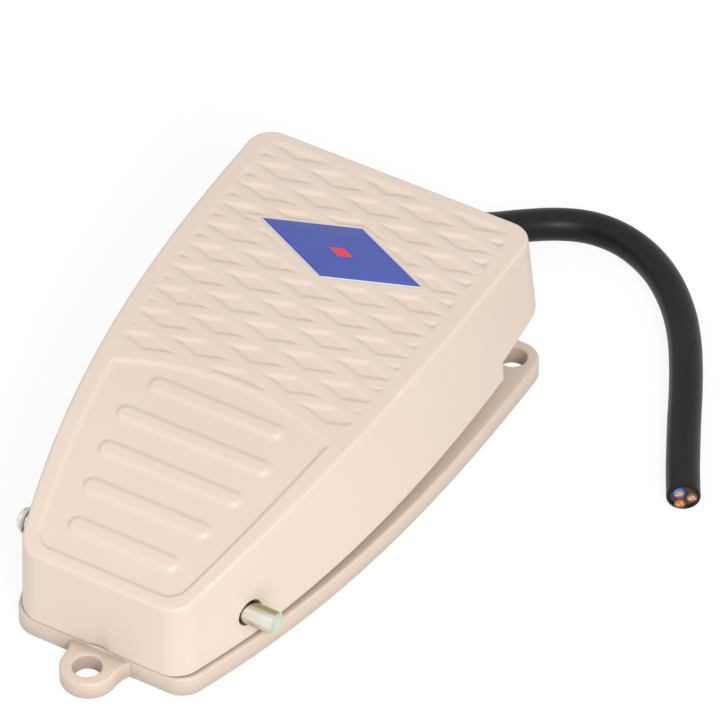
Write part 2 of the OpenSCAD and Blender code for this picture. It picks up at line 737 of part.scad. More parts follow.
// Bracket of the switch
bracket_t = 1.5;
bracket_h = 10.5;
bracket_foot = 12;
bracket_x = switch_w/2 + fit;
module switch_bracket() {
  color("lightgray") difference() {
    union() {
      translate([bracket_x, switch_y, bracket_z + fit]) cube([bracket_t, switch_l, bracket_h]);
      translate([bracket_x, switch_y, bracket_z + fit]) cube([bracket_foot, switch_l, bracket_t]);
    }
    at_mounts() cylinder(2*switch_w, d = mount_d + 4*fit, center = true);
    for (y = bracket_screw_ys) translate([bracket_screw_x, y, bracket_z - over])
      cylinder(bracket_t + 2*over + fit, d = bracket_screw_d + 2*fit);
  }
}
module bracket_screws() {
  color("silver") for (y = bracket_screw_ys)
    translate([bracket_screw_x, y, bracket_z + bracket_t + 2*fit]) pan_screw(bracket_screw_d, tag_screw_l);
}
mount_nut_af = 5.5;
mount_nut_h = 2.4;
mount_screw_out = 1.5;
module switch_screws() {
  color("silver") at_mounts() translate([0, 0, -switch_w/2 - fit]) rotate([180, 0, 0])
    pan_screw(mount_d, switch_w + bracket_t + mount_nut_h + mount_screw_out);
}
module switch_nuts() {
  color("silver") at_mounts() translate([0, 0, bracket_x + bracket_t + fit]) difference() {
    hexagon(mount_nut_af, mount_nut_h);
    translate([0, 0, -over]) cylinder(mount_nut_h + 2*over, d = mount_d + 2*fit);
  }
}

// Cable entry
neck_wall = 1.5;
flange_wall = 3.5;
neck_d = cable_d + 2*neck_wall;
flange_d = cable_d + 2*flange_wall;
flange_t = 2;
relief_end_wall = 1;
relief_end_r = cable_d/2 + relief_end_wall;
relief_end = wall_end + relief_l;
tail_end = 125;
module along_y(y, z) {
  translate([0, y, z]) rotate([-90, 0, 0]) children();
}
module cable_grommet() {
  inner = wall_end - wall_t;
  color([0.12, 0.12, 0.13]) along_y(inner - flange_t - fit, cable_z) rotate_extrude()
    polygon([[cable_d/2 + fit, 0], [flange_d/2, 0], [flange_d/2, flange_t],
      [neck_d/2 - fit, flange_t], [neck_d/2 - fit, flange_t + wall_t + 2*fit],
      [relief_r, flange_t + wall_t + 2*fit], [relief_r, 2*flange_t + wall_t],
      [relief_end_r, flange_t + wall_t + relief_l], [cable_d/2 + fit, flange_t + wall_t + relief_l]]);
}
module cord_tail() {
  color([0.13, 0.13, 0.14]) along_y(tail_end, cable_z) cylinder(relief_end - tail_end, d = cable_d);
}
module cable_saddle() {
  reach = saddle_post_x + saddle_post_d/2;
  color("lightgray") difference() {
    union() {
      translate([-reach, saddle_y - saddle_w/2, saddle_z + fit]) cube([2*reach, saddle_w, saddle_t]);
      along_y(saddle_y - saddle_w/2, cable_z) cylinder(saddle_w, d = cable_d + 2*saddle_t + 2*fit);
    }
    along_y(saddle_y - saddle_w, cable_z) cylinder(2*saddle_w, d = cable_d + 2*fit);
    translate([-reach, saddle_y - saddle_w, 0]) cube([2*reach, 2*saddle_w, saddle_z + fit]);
    for (s = [-1, 1]) translate([s*saddle_post_x, saddle_y, 0])
      cylinder(cable_z + cable_d, d = saddle_screw_d + 2*fit);
  }
}
saddle_screw_l = 6;
module saddle_screws() {
  color("silver") for (s = [-1, 1]) translate([s*saddle_post_x, saddle_y, saddle_z + saddle_t + 2*fit])
    pan_screw(saddle_screw_d, saddle_screw_l);
}

// Free cable: points of its middle line from the bend relief to the cut end
cable_route = [[0, 157, 12.4], [0, 159.5, 12.4], [0.9, 165.1, 11.9], [3.6, 170.8, 10.6],
  [7.6, 176.4, 8.9], [12.3, 182, 7.1], [17.7, 188.2, 5.6], [23.9, 193.5, 4.7], [31, 196.8, 4.4],
  [38.7, 197.5, 4.4], [46.6, 195.8, 4.4], [54.5, 191.9, 4.4], [61.8, 186.1, 4.4], [68.3, 179, 4.4],
  [73.8, 171.1, 4.4], [78.6, 162.7, 4.4], [83.1, 153.9, 4.4], [87.3, 145.1, 4.4], [91.6, 136.4, 4.4],
  [95.8, 128.1, 4.4], [100.1, 120.2, 4.4]];
cable_sides = 12;
module cord_lead() {
  color([0.13, 0.13, 0.14]) tube(cable_route, cable_d, cable_sides);
}
// Cores that stand out of the cut end
core_d = 3.2;
core_out = 0.6;
copper_d = 1.7;
core_angles = [75, 195, 315];
core_circle_share = 0.235;
module at_cores() {
  n = len(cable_route);
  t = dir(cable_route[n - 1] - cable_route[n - 2]);
  u = across(t);
  v = cross(t, u);
  for (a = core_angles) {
    p = cable_route[n - 1] + cable_d*core_circle_share*(u*cos(a) + v*sin(a)) + fit*t;
    translate(p) rotate([0, acos(t[2]), atan2(t[1], t[0])]) children();
  }
}
module core_ends() {
  color([0.2, 0.35, 0.7]) at_cores() difference() {
    cylinder(core_out, d = core_d);
    translate([0, 0, -over]) cylinder(core_out + 2*over, d = copper_d + 2*fit);
  }
}
module copper_ends() {
  color([0.8, 0.45, 0.2]) at_cores() cylinder(core_out + fit, d = copper_d);
}

// Wires from the cable's end to the three terminals
wire_sides = 8;
wire_blue_route = [[-2.2, 124.6, 12.4], [-2.2, 123.2, 12.4], [-5, 119.5, 12],
  [-9.5, 116, 11], [-12.5, 109, 10], [-13.2, 100, 9.5],
  [-13.2, 90, 9.3], [-13.2, 80, 9.3], [-13.2, 70, 9.5], [-13.2, 60, 10.5], [-12.6, 52, 12.5],
  [-11, 45, 15.5], [-7.6, 40, 18.6], [-3, 38.3, 21], [0, 39.6, 21.9], [0, 42.9, 21.9]];
wire_brown_route = [[0, 124.6, 14.3], [0, 121, 14.3], [0, 117, 14.8], [0, 113.5, 14.8], [0, 110.3, 14.8]];
wire_black_route = [[2.2, 124.6, 12.4], [2.2, 123.2, 12.4], [4, 120.5, 10.8],
  [6, 117, 8.4], [6.6, 112, 6.6], [5.6, 106, 5],
  [4.4, 99, 4.6], [3.6, 90, 4.6], [3, 80, 4.6], [2.4, 70, 4.6], [1.8, 60, 4.6], [1.2, 51, 4.8],
  [0.6, 44, 5.4], [0.2, 39.6, 7.2], [0, 38, 10], [0, 39.4, 12.3], [0, 42.9, 12.45]];
module wire_blue() {
  color([0.2, 0.35, 0.7]) tube(wire_blue_route, wire_d, wire_sides);
}
module wire_brown() {
  color([0.4, 0.22, 0.12]) tube(wire_brown_route, wire_d, wire_sides);
}
module wire_black() {
  color([0.1, 0.1, 0.1]) tube(wire_black_route, wire_d, wire_sides);
}

base_casting();
base_ear();
pivot_pin();
pin_ring();
pin_grub_screws();
pedal_shell();
name_plate();
actuator_screw();
actuator_nut();
return_springs();
stop_buffers();
switch_bracket();
bracket_screws();
switch_body();
switch_cover();
switch_screws();
switch_nuts();
plunger();
contact_blade();
contact_spring();
common_terminal();
closed_terminal();
open_terminal();
terminal_screws();
cable_saddle();
saddle_screws();
cable_grommet();
cord_tail();
cord_lead();
core_ends();
copper_ends();
wire_blue();
wire_brown();
wire_black();
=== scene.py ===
"""Looks of a cast foot switch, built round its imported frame. Metres, in the frame's own axes."""

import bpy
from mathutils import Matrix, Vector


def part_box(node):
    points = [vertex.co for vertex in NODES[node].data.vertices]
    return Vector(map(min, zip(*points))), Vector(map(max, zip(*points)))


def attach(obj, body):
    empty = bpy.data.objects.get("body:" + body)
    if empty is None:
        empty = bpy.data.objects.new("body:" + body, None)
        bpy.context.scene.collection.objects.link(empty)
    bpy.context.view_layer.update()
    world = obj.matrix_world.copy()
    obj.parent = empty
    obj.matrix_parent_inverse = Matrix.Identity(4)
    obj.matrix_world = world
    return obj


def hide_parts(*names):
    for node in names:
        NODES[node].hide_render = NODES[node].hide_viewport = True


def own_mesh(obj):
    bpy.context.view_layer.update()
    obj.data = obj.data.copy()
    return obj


bl_info = {
    "name": "Cast Foot Switch",
    "version": (1, 0, 0),
    "blender": (4, 5, 0),
    "location": "View3D > Sidebar > Foot Switch",
    "description": "Builds a cast foot switch with its cable, from named sizes and colours",
    "category": "Add Mesh",
}

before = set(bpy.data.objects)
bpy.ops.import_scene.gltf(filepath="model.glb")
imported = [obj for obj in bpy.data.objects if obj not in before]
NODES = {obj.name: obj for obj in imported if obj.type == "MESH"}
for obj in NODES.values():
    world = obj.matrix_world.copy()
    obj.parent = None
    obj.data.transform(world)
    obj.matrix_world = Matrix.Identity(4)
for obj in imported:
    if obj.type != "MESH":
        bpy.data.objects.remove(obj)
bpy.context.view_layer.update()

import math

import bmesh
import bpy
import numpy as np
from mathutils import Matrix, Vector

MM = 0.001
CLEARANCE = 0.05 * MM    # air between a hole and what passes through it
FULL_TURN = 2 * math.pi
SIDES = (-1, 1)
BUFFER_STEM = 5 * MM    # height of a rubber buffer's stem, which sits in its post


def length(label, text, value):
    """A size that a user may set, in metres."""
    return bpy.props.FloatProperty(
        name=label, description=text, default=value, precision=5, unit="LENGTH", subtype="DISTANCE")


def number(label, text, value):
    """A plain number that a user may set."""
    return bpy.props.FloatProperty(name=label, description=text, default=value)


def angle(label, text, degrees):
    """An angle that a user may set."""
    return bpy.props.FloatProperty(
        name=label, description=text, default=math.radians(degrees), unit="ROTATION", subtype="ANGLE")


def linear(value):
    """One channel of a screen colour, 0 to 255, as light."""
    share = value / 255
    return share / 12.92 if share <= 0.04045 else ((share + 0.055) / 1.055) ** 2.4


def colour(label, text, red, green, blue):
    """A colour that a user may set, given as a screen colour from 0 to 255."""
    return bpy.props.FloatVectorProperty(
        name=label, description=text, subtype="COLOR", size=4, min=0, max=1,
        default=(linear(red), linear(green), linear(blue), 1))


def part(kind, label, text):
    """One group of settings among all."""
    return bpy.props.PointerProperty(type=kind, name=label, description=text)


class PedalSizes(bpy.types.PropertyGroup):
    """Sizes of the cast pedal"""

    length: length("Length", "Length of the pedal's top", 0.150)
    heel_width: length("Heel width", "Width of the top at the heel", 0.0458)
    toe_width: length("Toe width", "Width of the top at the toe", 0.0814)
    heel_height: length("Heel height", "Height of the top at the heel", 0.0291)
    toe_height: length("Toe height", "Height of the top at the toe", 0.045)
    swell: number("Swell", "How early the sides and the top swell towards the toe", 2.75)
    heel_corner: length("Heel corner", "Corner radius at the heel", 0.007)
    toe_corner: length("Toe corner", "Corner radius at the toe", 0.0068)
    edge: length("Edge", "Rounding along the top edge", 0.0009)
    heel_draft: angle("Heel draft", "Slope of the walls at the heel", 1)
    toe_draft: angle("Toe draft", "Slope of the walls at the toe", 6.2)
    wall: length("Wall", "Thickness of the walls", 0.002)
    roof: length("Roof", "Thickness of the top", 0.0032)
    lower_edge: length("Lower edge", "Rounding along the skirt's lower edge", 0.0005)
    scoop_low: length("Scoop low", "Radius of the screwdriver scoop at the base plate", 0.00615)
    scoop_high: length("Scoop high", "Radius of the screwdriver scoop at its top", 0.0053)
    scoop_height: length("Scoop height", "Height of the screwdriver scoop", 0.0135)
    arch_width: length("Arch width", "Width of the cable's arch in the toe wall", 0.018)
    arch_top: length("Arch top", "Height of the cable's arch in the toe wall", 0.02678)


class TreadSizes(bpy.types.PropertyGroup):
    """Sizes of the raised tread on the pedal"""

    heel_border: length("Heel border", "Width of the smooth border at the heel", 0.0033)
    toe_border: length("Toe border", "Width of the smooth border at the toe", 0.0052)
    panel_depth: length("Panel depth", "Depth of the heel panel under its border", 0.0008)
    panel_corner: length("Panel corner", "Corner radius of the heel panel", 0.0046)
    soft: length("Softness", "Width over which a crisp edge of the relief climbs", 0.0013)
    slope: length("Slope", "Width over which a gentle edge of the relief climbs", 0.0021)
    lip_y: length("Lip", "Distance from the heel to the crown of the curved lip", 0.0662)
    lip_radius: length("Lip radius", "Radius of the curved lip", 0.0772)
    lip_flat: length("Lip flat", "Flat behind the curved lip", 0.0012)
    bar_width: length("Bar width", "Width of a heel bar", 0.0048)
    bar_pitch: length("Bar pitch", "Distance between heel bars", 0.0113)
    bar_y: length("First bar", "Distance from the heel to the first bar", 0.0123)
    diamond_depth: length("Diamond depth", "Depth of the sunk diamonds", 0.0007)
    diamond_x: length("Column pitch", "Distance between columns of diamonds", 0.0132)
    diamond_y: length("Row pitch", "Distance between diamonds in a column", 0.0086)
    diamond_start: length("Diamond start", "Distance from the heel to the pattern's first middle", 0.0765)
    rib: length("Rib", "Width of the raised ribs between diamonds", 0.0029)
    plate_length: length("Plate length", "Length of the blank rhombus plate", 0.049)
    plate_height: length("Plate height", "Height of the blank rhombus plate", 0.0208)
    plate_x: length("Plate side", "Distance from the middle to the middle of the plate", 0.0013)
    plate_y: length("Plate place", "Distance from the heel to the middle of the plate", 0.1179)
    plate_turn: angle("Plate turn", "Turn of the plate", 2.6)
    pad_share: number("Pad share", "Size of the smooth pad as a share of the plate", 1.12)


class BaseSizes(bpy.types.PropertyGroup):
    """Sizes of the cast base"""

    length: length("Length", "Length of the base plate", 0.149)
    heel_width: length("Heel width", "Width of the plate at the heel", 0.049)
    toe_width: length("Toe width", "Width of the plate at the toe", 0.091)
    plate: length("Plate", "Thickness of the base plate", 0.0058)
    floor: length("Floor", "Thickness of the floor inside the walls", 0.003)
    wall: length("Wall", "Thickness of the upright walls", 0.003)
    heel_corner: length("Heel corner", "Corner radius at the heel", 0.007)
    toe_corner: length("Toe corner", "Corner radius at the toe", 0.0065)
    edge: length("Edge", "Rounding along the plate's upper edge", 0.0009)
    ear_radius: length("Ear radius", "Radius of the heel ear", 0.0073)
    ear_out: length("Ear reach", "Distance from the plate's edge to the ear's middle", 0.0052)
    ear: length("Ear", "Thickness of the heel ear", 0.005)
    ear_flare: length("Ear flare", "Flare where the ear meets the plate", 0.0026)
    hole: length("Hole", "Radius of the screw holes", 0.0037)
    hole_rim: length("Hole rim", "Rounding of a screw hole's rim", 0.0006)
    heel_hole: length("Heel hole", "Distance from the plate's edge to the heel hole", 0.0059)
    rear_hole_x: length("Rear holes", "Distance from the middle to each rear hole", 0.0385)
    rear_hole_y: length("Rear hole place", "Distance from the heel to the rear holes", 0.1425)
    wall_start: length("Wall start", "Distance from the heel to the walls", 0.0065)
    wall_end: length("Wall end", "Distance from the heel to the toe wall", 0.142)
    low_wall: length("Low wall", "Height of the outer step of the walls", 0.0095)
    high_wall: length("High wall", "Height of the walls", 0.017)
    notch_x: length("Notch side", "Distance from the middle to the rear notches", 0.031)
    notch_y: length("Notch start", "Distance from the heel to the rear notches", 0.128)


class PivotSizes(bpy.types.PropertyGroup):
    """Sizes of the cross pin and what carries it"""

    radius: length("Pin radius", "Radius of the pin", 0.003)
    y: length("Pin place", "Distance from the heel to the pin", 0.0221)
    z: length("Pin height", "Height of the pin", 0.0144)
    right: length("Pin right", "Reach of the pin to the right", 0.0385)
    left: length("Pin left", "Reach of the pin to the left", 0.0361)
    chamfer: length("Chamfer", "Chamfer of the pin's ends", 0.0008)
    groove_in: length("Groove", "Distance from the left end to the ring's groove", 0.0016)
    groove: length("Groove width", "Width of the ring's groove", 0.0009)
    groove_depth: length("Groove depth", "Depth of the ring's groove", 0.0007)
    eye: length("Eye", "Radius of the sunk eye round the pin", 0.0037)
    eye_depth: length("Eye depth", "Depth of the sunk eye", 0.0028)
    boss: length("Boss", "Radius of the pedal's bosses", 0.0065)
    boss_in: length("Boss place", "Distance from the middle to a boss", 0.025)
    lug_in: length("Lug inner", "Distance from the middle to a lug's inner face", 0.0176)
    lug_out: length("Lug outer", "Distance from the middle to a lug's outer face", 0.0246)
    lug: length("Lug", "Radius of the base's lugs", 0.007)


class CableSizes(bpy.types.PropertyGroup):
    """Sizes of the cable and its entry"""

    diameter: length("Diameter", "Diameter of the cable", 0.0088)
    length: length("Length", "Length of the free cable", 0.1642)
    exit_y: length("Exit", "Distance from the heel to the end of the bend relief", 0.157)
    z: length("Height", "Height of the cable where it leaves the base", 0.0124)
    sheath: length("Sheath", "Thickness of the outer sheath", 0.001)
    recess: length("Recess", "Depth of the filler in the cut end", 0.0005)
    core: length("Core", "Radius of an insulated core", 0.00145)
    copper: length("Copper", "Radius of a core's copper", 0.001)
    core_out: length("Core reach", "Reach of a core out of the cut end", 0.0006)
    wire: length("Wire", "Diameter of an insulated wire", 0.0026)
    relief_start: length("Relief radius", "Radius of the bend relief at the wall", 0.0063)
    relief_end: length("Relief end", "Radius of the bend relief at its end", 0.0054)
    flange: length("Flange", "Radius of the grommet's inner flange", 0.0079)
    neck: length("Neck", "Radius of the grommet's neck in the wall", 0.00585)


class FinishColours(bpy.types.PropertyGroup):
    """Colours of the finishes"""

    enamel: colour("Enamel", "Cream enamel on the castings", 233, 214, 199)
    # The base's enamel is the pedal's cream made darker: painted shade for the base, which sits low under
    # the pedal.
    shaded_base_enamel: colour("Shaded base enamel", "Cream enamel on the base, darker as a painted shade", 222, 203, 188)
    enamel_aged: colour("Aged enamel", "Cream enamel where it has yellowed", 226, 205, 184)
    label: colour("Label", "Blue of the blank plate", 66, 84, 172)
    label_line: colour("Label line", "Pale line round the plate", 222, 224, 236)
    label_mark: colour("Label mark", "Red of the plain mark", 226, 60, 72)
    zinc: colour("Zinc", "Yellowish zinc plating", 232, 234, 222)
    zinc_tint: colour("Zinc tint", "Green and yellow cast of the plating", 206, 212, 178)
    steel: colour("Steel", "Bright spring steel", 196, 198, 198)
    dark_steel: colour("Dark steel", "Blackened steel", 62, 62, 64)
    rubber: colour("Rubber", "Black rubber", 34, 34, 36)
    sheath: colour("Sheath", "Black cable sheath", 22, 21, 22)
    filler: colour("Filler", "Dark filler between the cores", 62, 56, 46)
    core_blue: colour("Blue core", "Blue core insulation", 84, 122, 196)
    core_brown: colour("Brown core", "Orange-brown core insulation", 150, 92, 62)
    core_grey: colour("Grey core", "Grey-brown core insulation", 112, 92, 72)
    copper: colour("Copper", "Cut copper strands", 255, 190, 140)
    brass: colour("Brass", "Brass strip", 214, 180, 104)
    resin: colour("Resin", "Dark moulded resin", 42, 37, 34)
    cover: colour("Cover", "Brown moulded resin", 120, 64, 42)
    plunger: colour("Plunger", "Red moulded resin", 186, 32, 28)
    floor: colour("Floor", "Plain pale floor", 240, 240, 240)


class StudioLook(bpy.types.PropertyGroup):
    """Camera and light"""

    azimuth: angle("Azimuth", "Turn of the camera round the object", 29.21)
    elevation: angle("Elevation", "Height of the camera over the horizon", 43.94)
    roll: angle("Roll", "Roll of the camera", 0.56)
    distance: length("Distance", "Distance from the camera to its target", 1.73995)
    target_x: length("Target x", "Point that the camera looks at", 0.00211)
    target_y: length("Target y", "Point that the camera looks at", 0.12681)
    lens: number("Lens", "Focal length in millimetres on a 36 mm sensor", 335.08)
    sky: number("Sky", "Strength of the even light", 0.5)
    key: number("Key", "Power of the large light at the front right", 21.0)
    fill: number("Fill", "Power of the large light at the left", 2.0)
    top: number("Top", "Power of the large light overhead", 1.0)


class FootSwitchSettings(bpy.types.PropertyGroup):
    """All sizes and colours of the foot switch"""

    pedal: part(PedalSizes, "Pedal", "Sizes of the pedal")
    tread: part(TreadSizes, "Tread", "Sizes of the tread")
    base: part(BaseSizes, "Base", "Sizes of the base")
    pivot: part(PivotSizes, "Pivot", "Sizes of the pivot")
    cable: part(CableSizes, "Cable", "Sizes of the cable")
    finish: part(FinishColours, "Finish", "Colours")
    studio: part(StudioLook, "Studio", "Camera and light")


# Free cable, from the bend relief to its cut end, in millimetres
CABLE_ROUTE = [
    (0, 157, 12.4), (0, 159.5, 12.4), (0.9, 165.1, 11.9), (3.6, 170.8, 10.6), (7.6, 176.4, 8.9),
    (12.3, 182, 7.1), (17.7, 188.2, 5.6), (23.9, 193.5, 4.7), (31, 196.8, 4.4), (38.7, 197.5, 4.4),
    (46.6, 195.8, 4.4), (54.5, 191.9, 4.4), (61.8, 186.1, 4.4), (68.3, 179, 4.4), (73.8, 171.1, 4.4),
    (78.6, 162.7, 4.4), (83.1, 153.9, 4.4), (87.3, 145.1, 4.4), (91.6, 136.4, 4.4), (95.8, 128.1, 4.4),
    (100.1, 120.2, 4.4)]
# Insulated wires from the cable's inner end to the three terminals, in millimetres
WIRE_ROUTES = {
    "wire_blue": [
        (-2.2, 124.6, 12.4), (-2.2, 123.2, 12.4), (-5, 119.5, 12), (-9.5, 116, 11), (-12.5, 109, 10),
        (-13.2, 100, 9.5), (-13.2, 90, 9.3), (-13.2, 80, 9.3), (-13.2, 70, 9.5), (-13.2, 60, 10.5),
        (-12.6, 52, 12.5), (-11, 45, 15.5), (-7.6, 40, 18.6), (-3, 38.3, 21), (0, 39.6, 21.9),
        (0, 42.9, 21.9)],
    "wire_brown": [
        (0, 124.6, 14.3), (0, 121, 14.3), (0, 117, 14.8), (0, 113.5, 14.8), (0, 110.3, 14.8)],
    "wire_black": [
        (2.2, 124.6, 12.4), (2.2, 123.2, 12.4), (4, 120.5, 10.8), (6, 117, 8.4), (6.6, 112, 6.6),
        (5.6, 106, 5), (4.4, 99, 4.6), (3.6, 90, 4.6), (3, 80, 4.6), (2.4, 70, 4.6), (1.8, 60, 4.6),
        (1.2, 51, 4.8), (0.6, 44, 5.4), (0.2, 39.6, 7.2), (0, 38, 10), (0, 39.4, 12.3), (0, 42.9, 12.45)]}
# Half length of each heel bar as a share of the heel width, from the heel on
BAR_SHARES = (0.33, 0.385, 0.435, 0.47, 0.41)
# How much wider than the pedal's top the walls' outer step and the walls are, at the heel and the toe
WALLS_WIDER = ((-0.0042, 0.001), (-0.0046, -0.0002))
# Skirt's lower edge: share of the pedal's length and gap over the base plate
SKIRT_GAPS = (
    (0.0, 0.0004), (0.1473, 0.0004), (0.4, 0.0026), (0.85, 0.0068), (0.8501, 0.0121), (1.0, 0.0159))


# Mesh building
class Shell:
    """Points and faces of a mesh while it is built"""

    def __init__(self):
        self.points = []
        self.faces = []

    def add(self, points):
        """Adds points and gives their numbers in the same layout."""
        points = np.asarray(points, float)
        first = len(self.points)
        self.points.extend(points.reshape(-1, 3).tolist())
        return np.arange(first, len(self.points)).reshape(points.shape[:-1])

    def band(self, low, high):
        """Quads between two closed loops."""
        self.faces.extend(np.column_stack([low, np.roll(low, -1), np.roll(high, -1), high]).tolist())

    def cap(self, loop):
        """One face over a closed loop."""
        self.faces.append(list(map(int, loop)))

    def sheet(self, grid):
        """Quads over a grid of numbers."""
        self.faces.extend(np.stack(
            [grid[:-1, :-1], grid[:-1, 1:], grid[1:, 1:], grid[1:, :-1]], -1).reshape(-1, 4).tolist())

    def loft(self, rings):
        """A closed solid over stacked loops of points."""
        loops = [self.add(ring) for ring in rings]
        for low, high in zip(loops, loops[1:]):
            self.band(low, high)
        self.cap(loops[0])
        self.cap(loops[-1])
        return self

    def torus(self, rings):
        """A closed solid whose last loop joins the first."""
        loops = [self.add(ring) for ring in rings]
        for low, high in zip(loops, loops[1:] + loops[:1]):
            self.band(low, high)
        return self

    def piece(self, name):
        """The object, with its faces turned outwards."""
        mesh = bpy.data.meshes.new(name)
        mesh.from_pydata(self.points, [], self.faces)
        work = bmesh.new()
        work.from_mesh(mesh)
        bmesh.ops.recalc_face_normals(work, faces=work.faces)
        work.to_mesh(mesh)
        work.free()
        made = bpy.data.objects.new(name, mesh)
        bpy.context.scene.collection.objects.link(made)
        return made


def combine(body, tool, operation):
    """Joins, cuts or keeps what tool says, and removes the tool."""
    step = body.modifiers.new("combine", "BOOLEAN")
    step.operation = operation
    step.solver = "MANIFOLD"
    step.object = tool
    graph = bpy.context.evaluated_depsgraph_get()
    mesh = bpy.data.meshes.new_from_object(body.evaluated_get(graph))
    if not mesh.polygons:
        raise RuntimeError(f"{body.name} came out empty after {operation} with {tool.name}")
    body.modifiers.clear()
    body.data = mesh
    mesh.name = body.name
    bpy.data.objects.remove(tool)
    return body


def join(body, *tools):
    """Joins closed solids into body."""
    for tool in tools:
        combine(body, tool, "UNION")
    return body


def cut(body, *tools):
    """Cuts closed solids out of body."""
    for tool in tools:
        combine(body, tool, "DIFFERENCE")
    return body


def smooth_shading(piece, degrees=32):
    """Smooth faces with sharp edges past an angle."""
    mesh = piece.data
    mesh.polygons.foreach_set("use_smooth", [True] * len(mesh.polygons))
    mesh.set_sharp_from_angle(angle=math.radians(degrees))


def finished(piece, look, body, slot, *nodes, sharp=32):
    """Shading, material, body and the CAD nodes that a piece stands for; the material slot passed in is not
    used.
    """
    smooth_shading(piece, sharp)
    piece.data.materials.clear()
    piece.data.materials.append(look)
    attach(piece, body)
    if nodes:
        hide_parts(*nodes)
    return piece


def carried_over(node, look, soft=0.0):
    """A CAD node that stays, with its own material and, where soft is set, rounded edges."""
    piece = NODES[node]
    piece.data.materials.clear()
    piece.data.materials.append(look)
    if soft:
        weld = piece.modifiers.new("weld", "WELD")
        weld.merge_threshold = 1e-6
        flat = piece.modifiers.new("flat faces", "DECIMATE")
        flat.decimate_type = "DISSOLVE"
        flat.angle_limit = math.radians(1)
        bevel = piece.modifiers.new("soft edges", "BEVEL")
        bevel.width = soft
        bevel.segments = 2
        bevel.limit_method = "ANGLE"
        bevel.angle_limit = math.radians(35)
        bevel.harden_normals = True
    return piece


def pair_at(node):
    """x and y of the right one of two like round pieces, from the box of both."""
    low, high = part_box(node)
    return high[0] - (high[1] - low[1]) / 2, (low[1] + high[1]) / 2


def ring_about(centre, radius, steps, across, up):
    """Points of a circle in the plane of two unit vectors."""
    turn = np.arange(steps) * FULL_TURN / steps
    return np.array(centre) + radius * (np.outer(np.cos(turn), across) + np.outer(np.sin(turn), up))


AXES = {"x": ((1, 0, 0), (0, 1, 0), (0, 0, 1)), "y": ((0, 1, 0), (0, 0, 1), (1, 0, 0)),
        "z": ((0, 0, 1), (1, 0, 0), (0, 1, 0))}


def turned(profile, at, axis="z", steps=64):
    """Rings of a lathe-turned form: profile holds (distance along the axis, radius)."""
    run, across, up = (np.array(v, float) for v in AXES[axis])
    return [ring_about(np.array(at) + run * along, radius, steps, across, up) for along, radius in profile]


def lathe(name, profile, at, axis="z", steps=64):
    """A closed turned solid."""
    return Shell().loft(turned(profile, at, axis, steps)).piece(name)


def rod(name, radius, low, high, at, axis="z", steps=64, soft=0.0):
    """A round rod from low to high along the axis, with softened ends."""
    if soft:
        profile = [(low, radius - soft), (low + soft * 0.3, radius - soft * 0.3), (low + soft, radius),
                   (high - soft, radius), (high - soft * 0.3, radius - soft * 0.3), (high, radius - soft)]
    else:
        profile = [(low, radius), (high, radius)]
    return lathe(name, profile, at, axis, steps)


def block(name, low, high):
    """A plain box."""
    (x0, y0, z0), (x1, y1, z1) = low, high
    corners = [(x0, y0), (x1, y0), (x1, y1), (x0, y1)]
    return Shell().loft([[(x, y, z) for x, y in corners] for z in (z0, z1)]).piece(name)


def smooth_line(points, step):
    """Points about step apart on a smooth line through given ones, which are in millimetres."""
    p = np.array(points, float) * MM
    p = np.vstack([2 * p[0] - p[1], p, 2 * p[-1] - p[-2]])
    line = []
    for a, b, c, d in zip(p, p[1:], p[2:], p[3:]):
        for t in np.arange(0, 1, step / np.linalg.norm(c - b)):
            line.append(b + 0.5 * t * (c - a + t * (2 * a - 5 * b + 4 * c - d + t * (3 * (b - c) + d - a))))
    return np.vstack([line, p[-2]])


def frames_along(line):
    """Two unit vectors across the line at each point, with no twist."""
    run = np.gradient(line, axis=0)
    run /= np.linalg.norm(run, axis=1)[:, None]
    across = np.zeros_like(line)
    side = np.cross(run[0], (0, 0, 1) if abs(run[0][2]) < 0.9 else (0, 1, 0))
    for i, t in enumerate(run):
        side = side - t * (side @ t)
        side /= np.linalg.norm(side)
        across[i] = side
    return run, across, np.cross(run, across)


def tube_rings(line, radius, sides):
    """Rings square to a line."""
    _, across, up = frames_along(line)
    return [ring_about(p, radius, sides, a, u) for p, a, u in zip(line, across, up)]


# Outline that the pedal, the base and the name plate share
def rise(form, y):
    """How far the swell towards the toe has come, 0 at the heel and 1 at the toe."""
    return 1 - (1 - np.clip(np.asarray(y) / form.length, 0, 1)) ** form.swell


def half_width(form, heel, toe, y):
    """Distance from the middle to the side of an outline of two given widths."""
    return heel / 2 + (toe - heel) / 2 * rise(form, y)


def side_tilt(form, heel, toe, y):
    """Angle between the side of such an outline and straight ahead."""
    left = 1 - np.clip(y / form.length, 0, 1)
    return np.arctan((toe - heel) / 2 * form.swell * left ** (form.swell - 1) / form.length)


def top_height(form, y):
    """Height of the pedal's smooth top."""
    return form.heel_height + (form.toe_height - form.heel_height) * rise(form, y)


def draft(form, y):
    """How far the pedal's wall leans out for each metre down."""
    return np.tan(form.heel_draft + (form.toe_draft - form.heel_draft) * rise(form, y))


def right_side(form, widths, ends, corners, arc_steps=10, side_steps=40):
    """Right half of an outline, heel to toe: x, y and the angle of the outward normal."""
    (heel, toe), (start, end), (r0, r1) = widths, ends, corners
    y0, y1 = start + r0, end - r1
    t0, t1 = side_tilt(form, heel, toe, y0), side_tilt(form, heel, toe, y1)
    x0 = half_width(form, heel, toe, y0) - r0 / math.cos(t0)
    x1 = half_width(form, heel, toe, y1) - r1 / math.cos(t1)
    a = np.linspace(-math.pi / 2, -t0, arc_steps + 1)
    b = np.linspace(-t1, math.pi / 2, arc_steps + 1)
    y = np.linspace(y0 - r0 * math.sin(t0), y1 - r1 * math.sin(t1), side_steps + 1)[1:-1]
    return np.vstack([
        np.column_stack([x0 + r0 * np.cos(a), y0 + r0 * np.sin(a), a]),
        np.column_stack([half_width(form, heel, toe, y), y, -side_tilt(form, heel, toe, y)]),
        np.column_stack([x1 + r1 * np.cos(b), y1 + r1 * np.sin(b), b])])


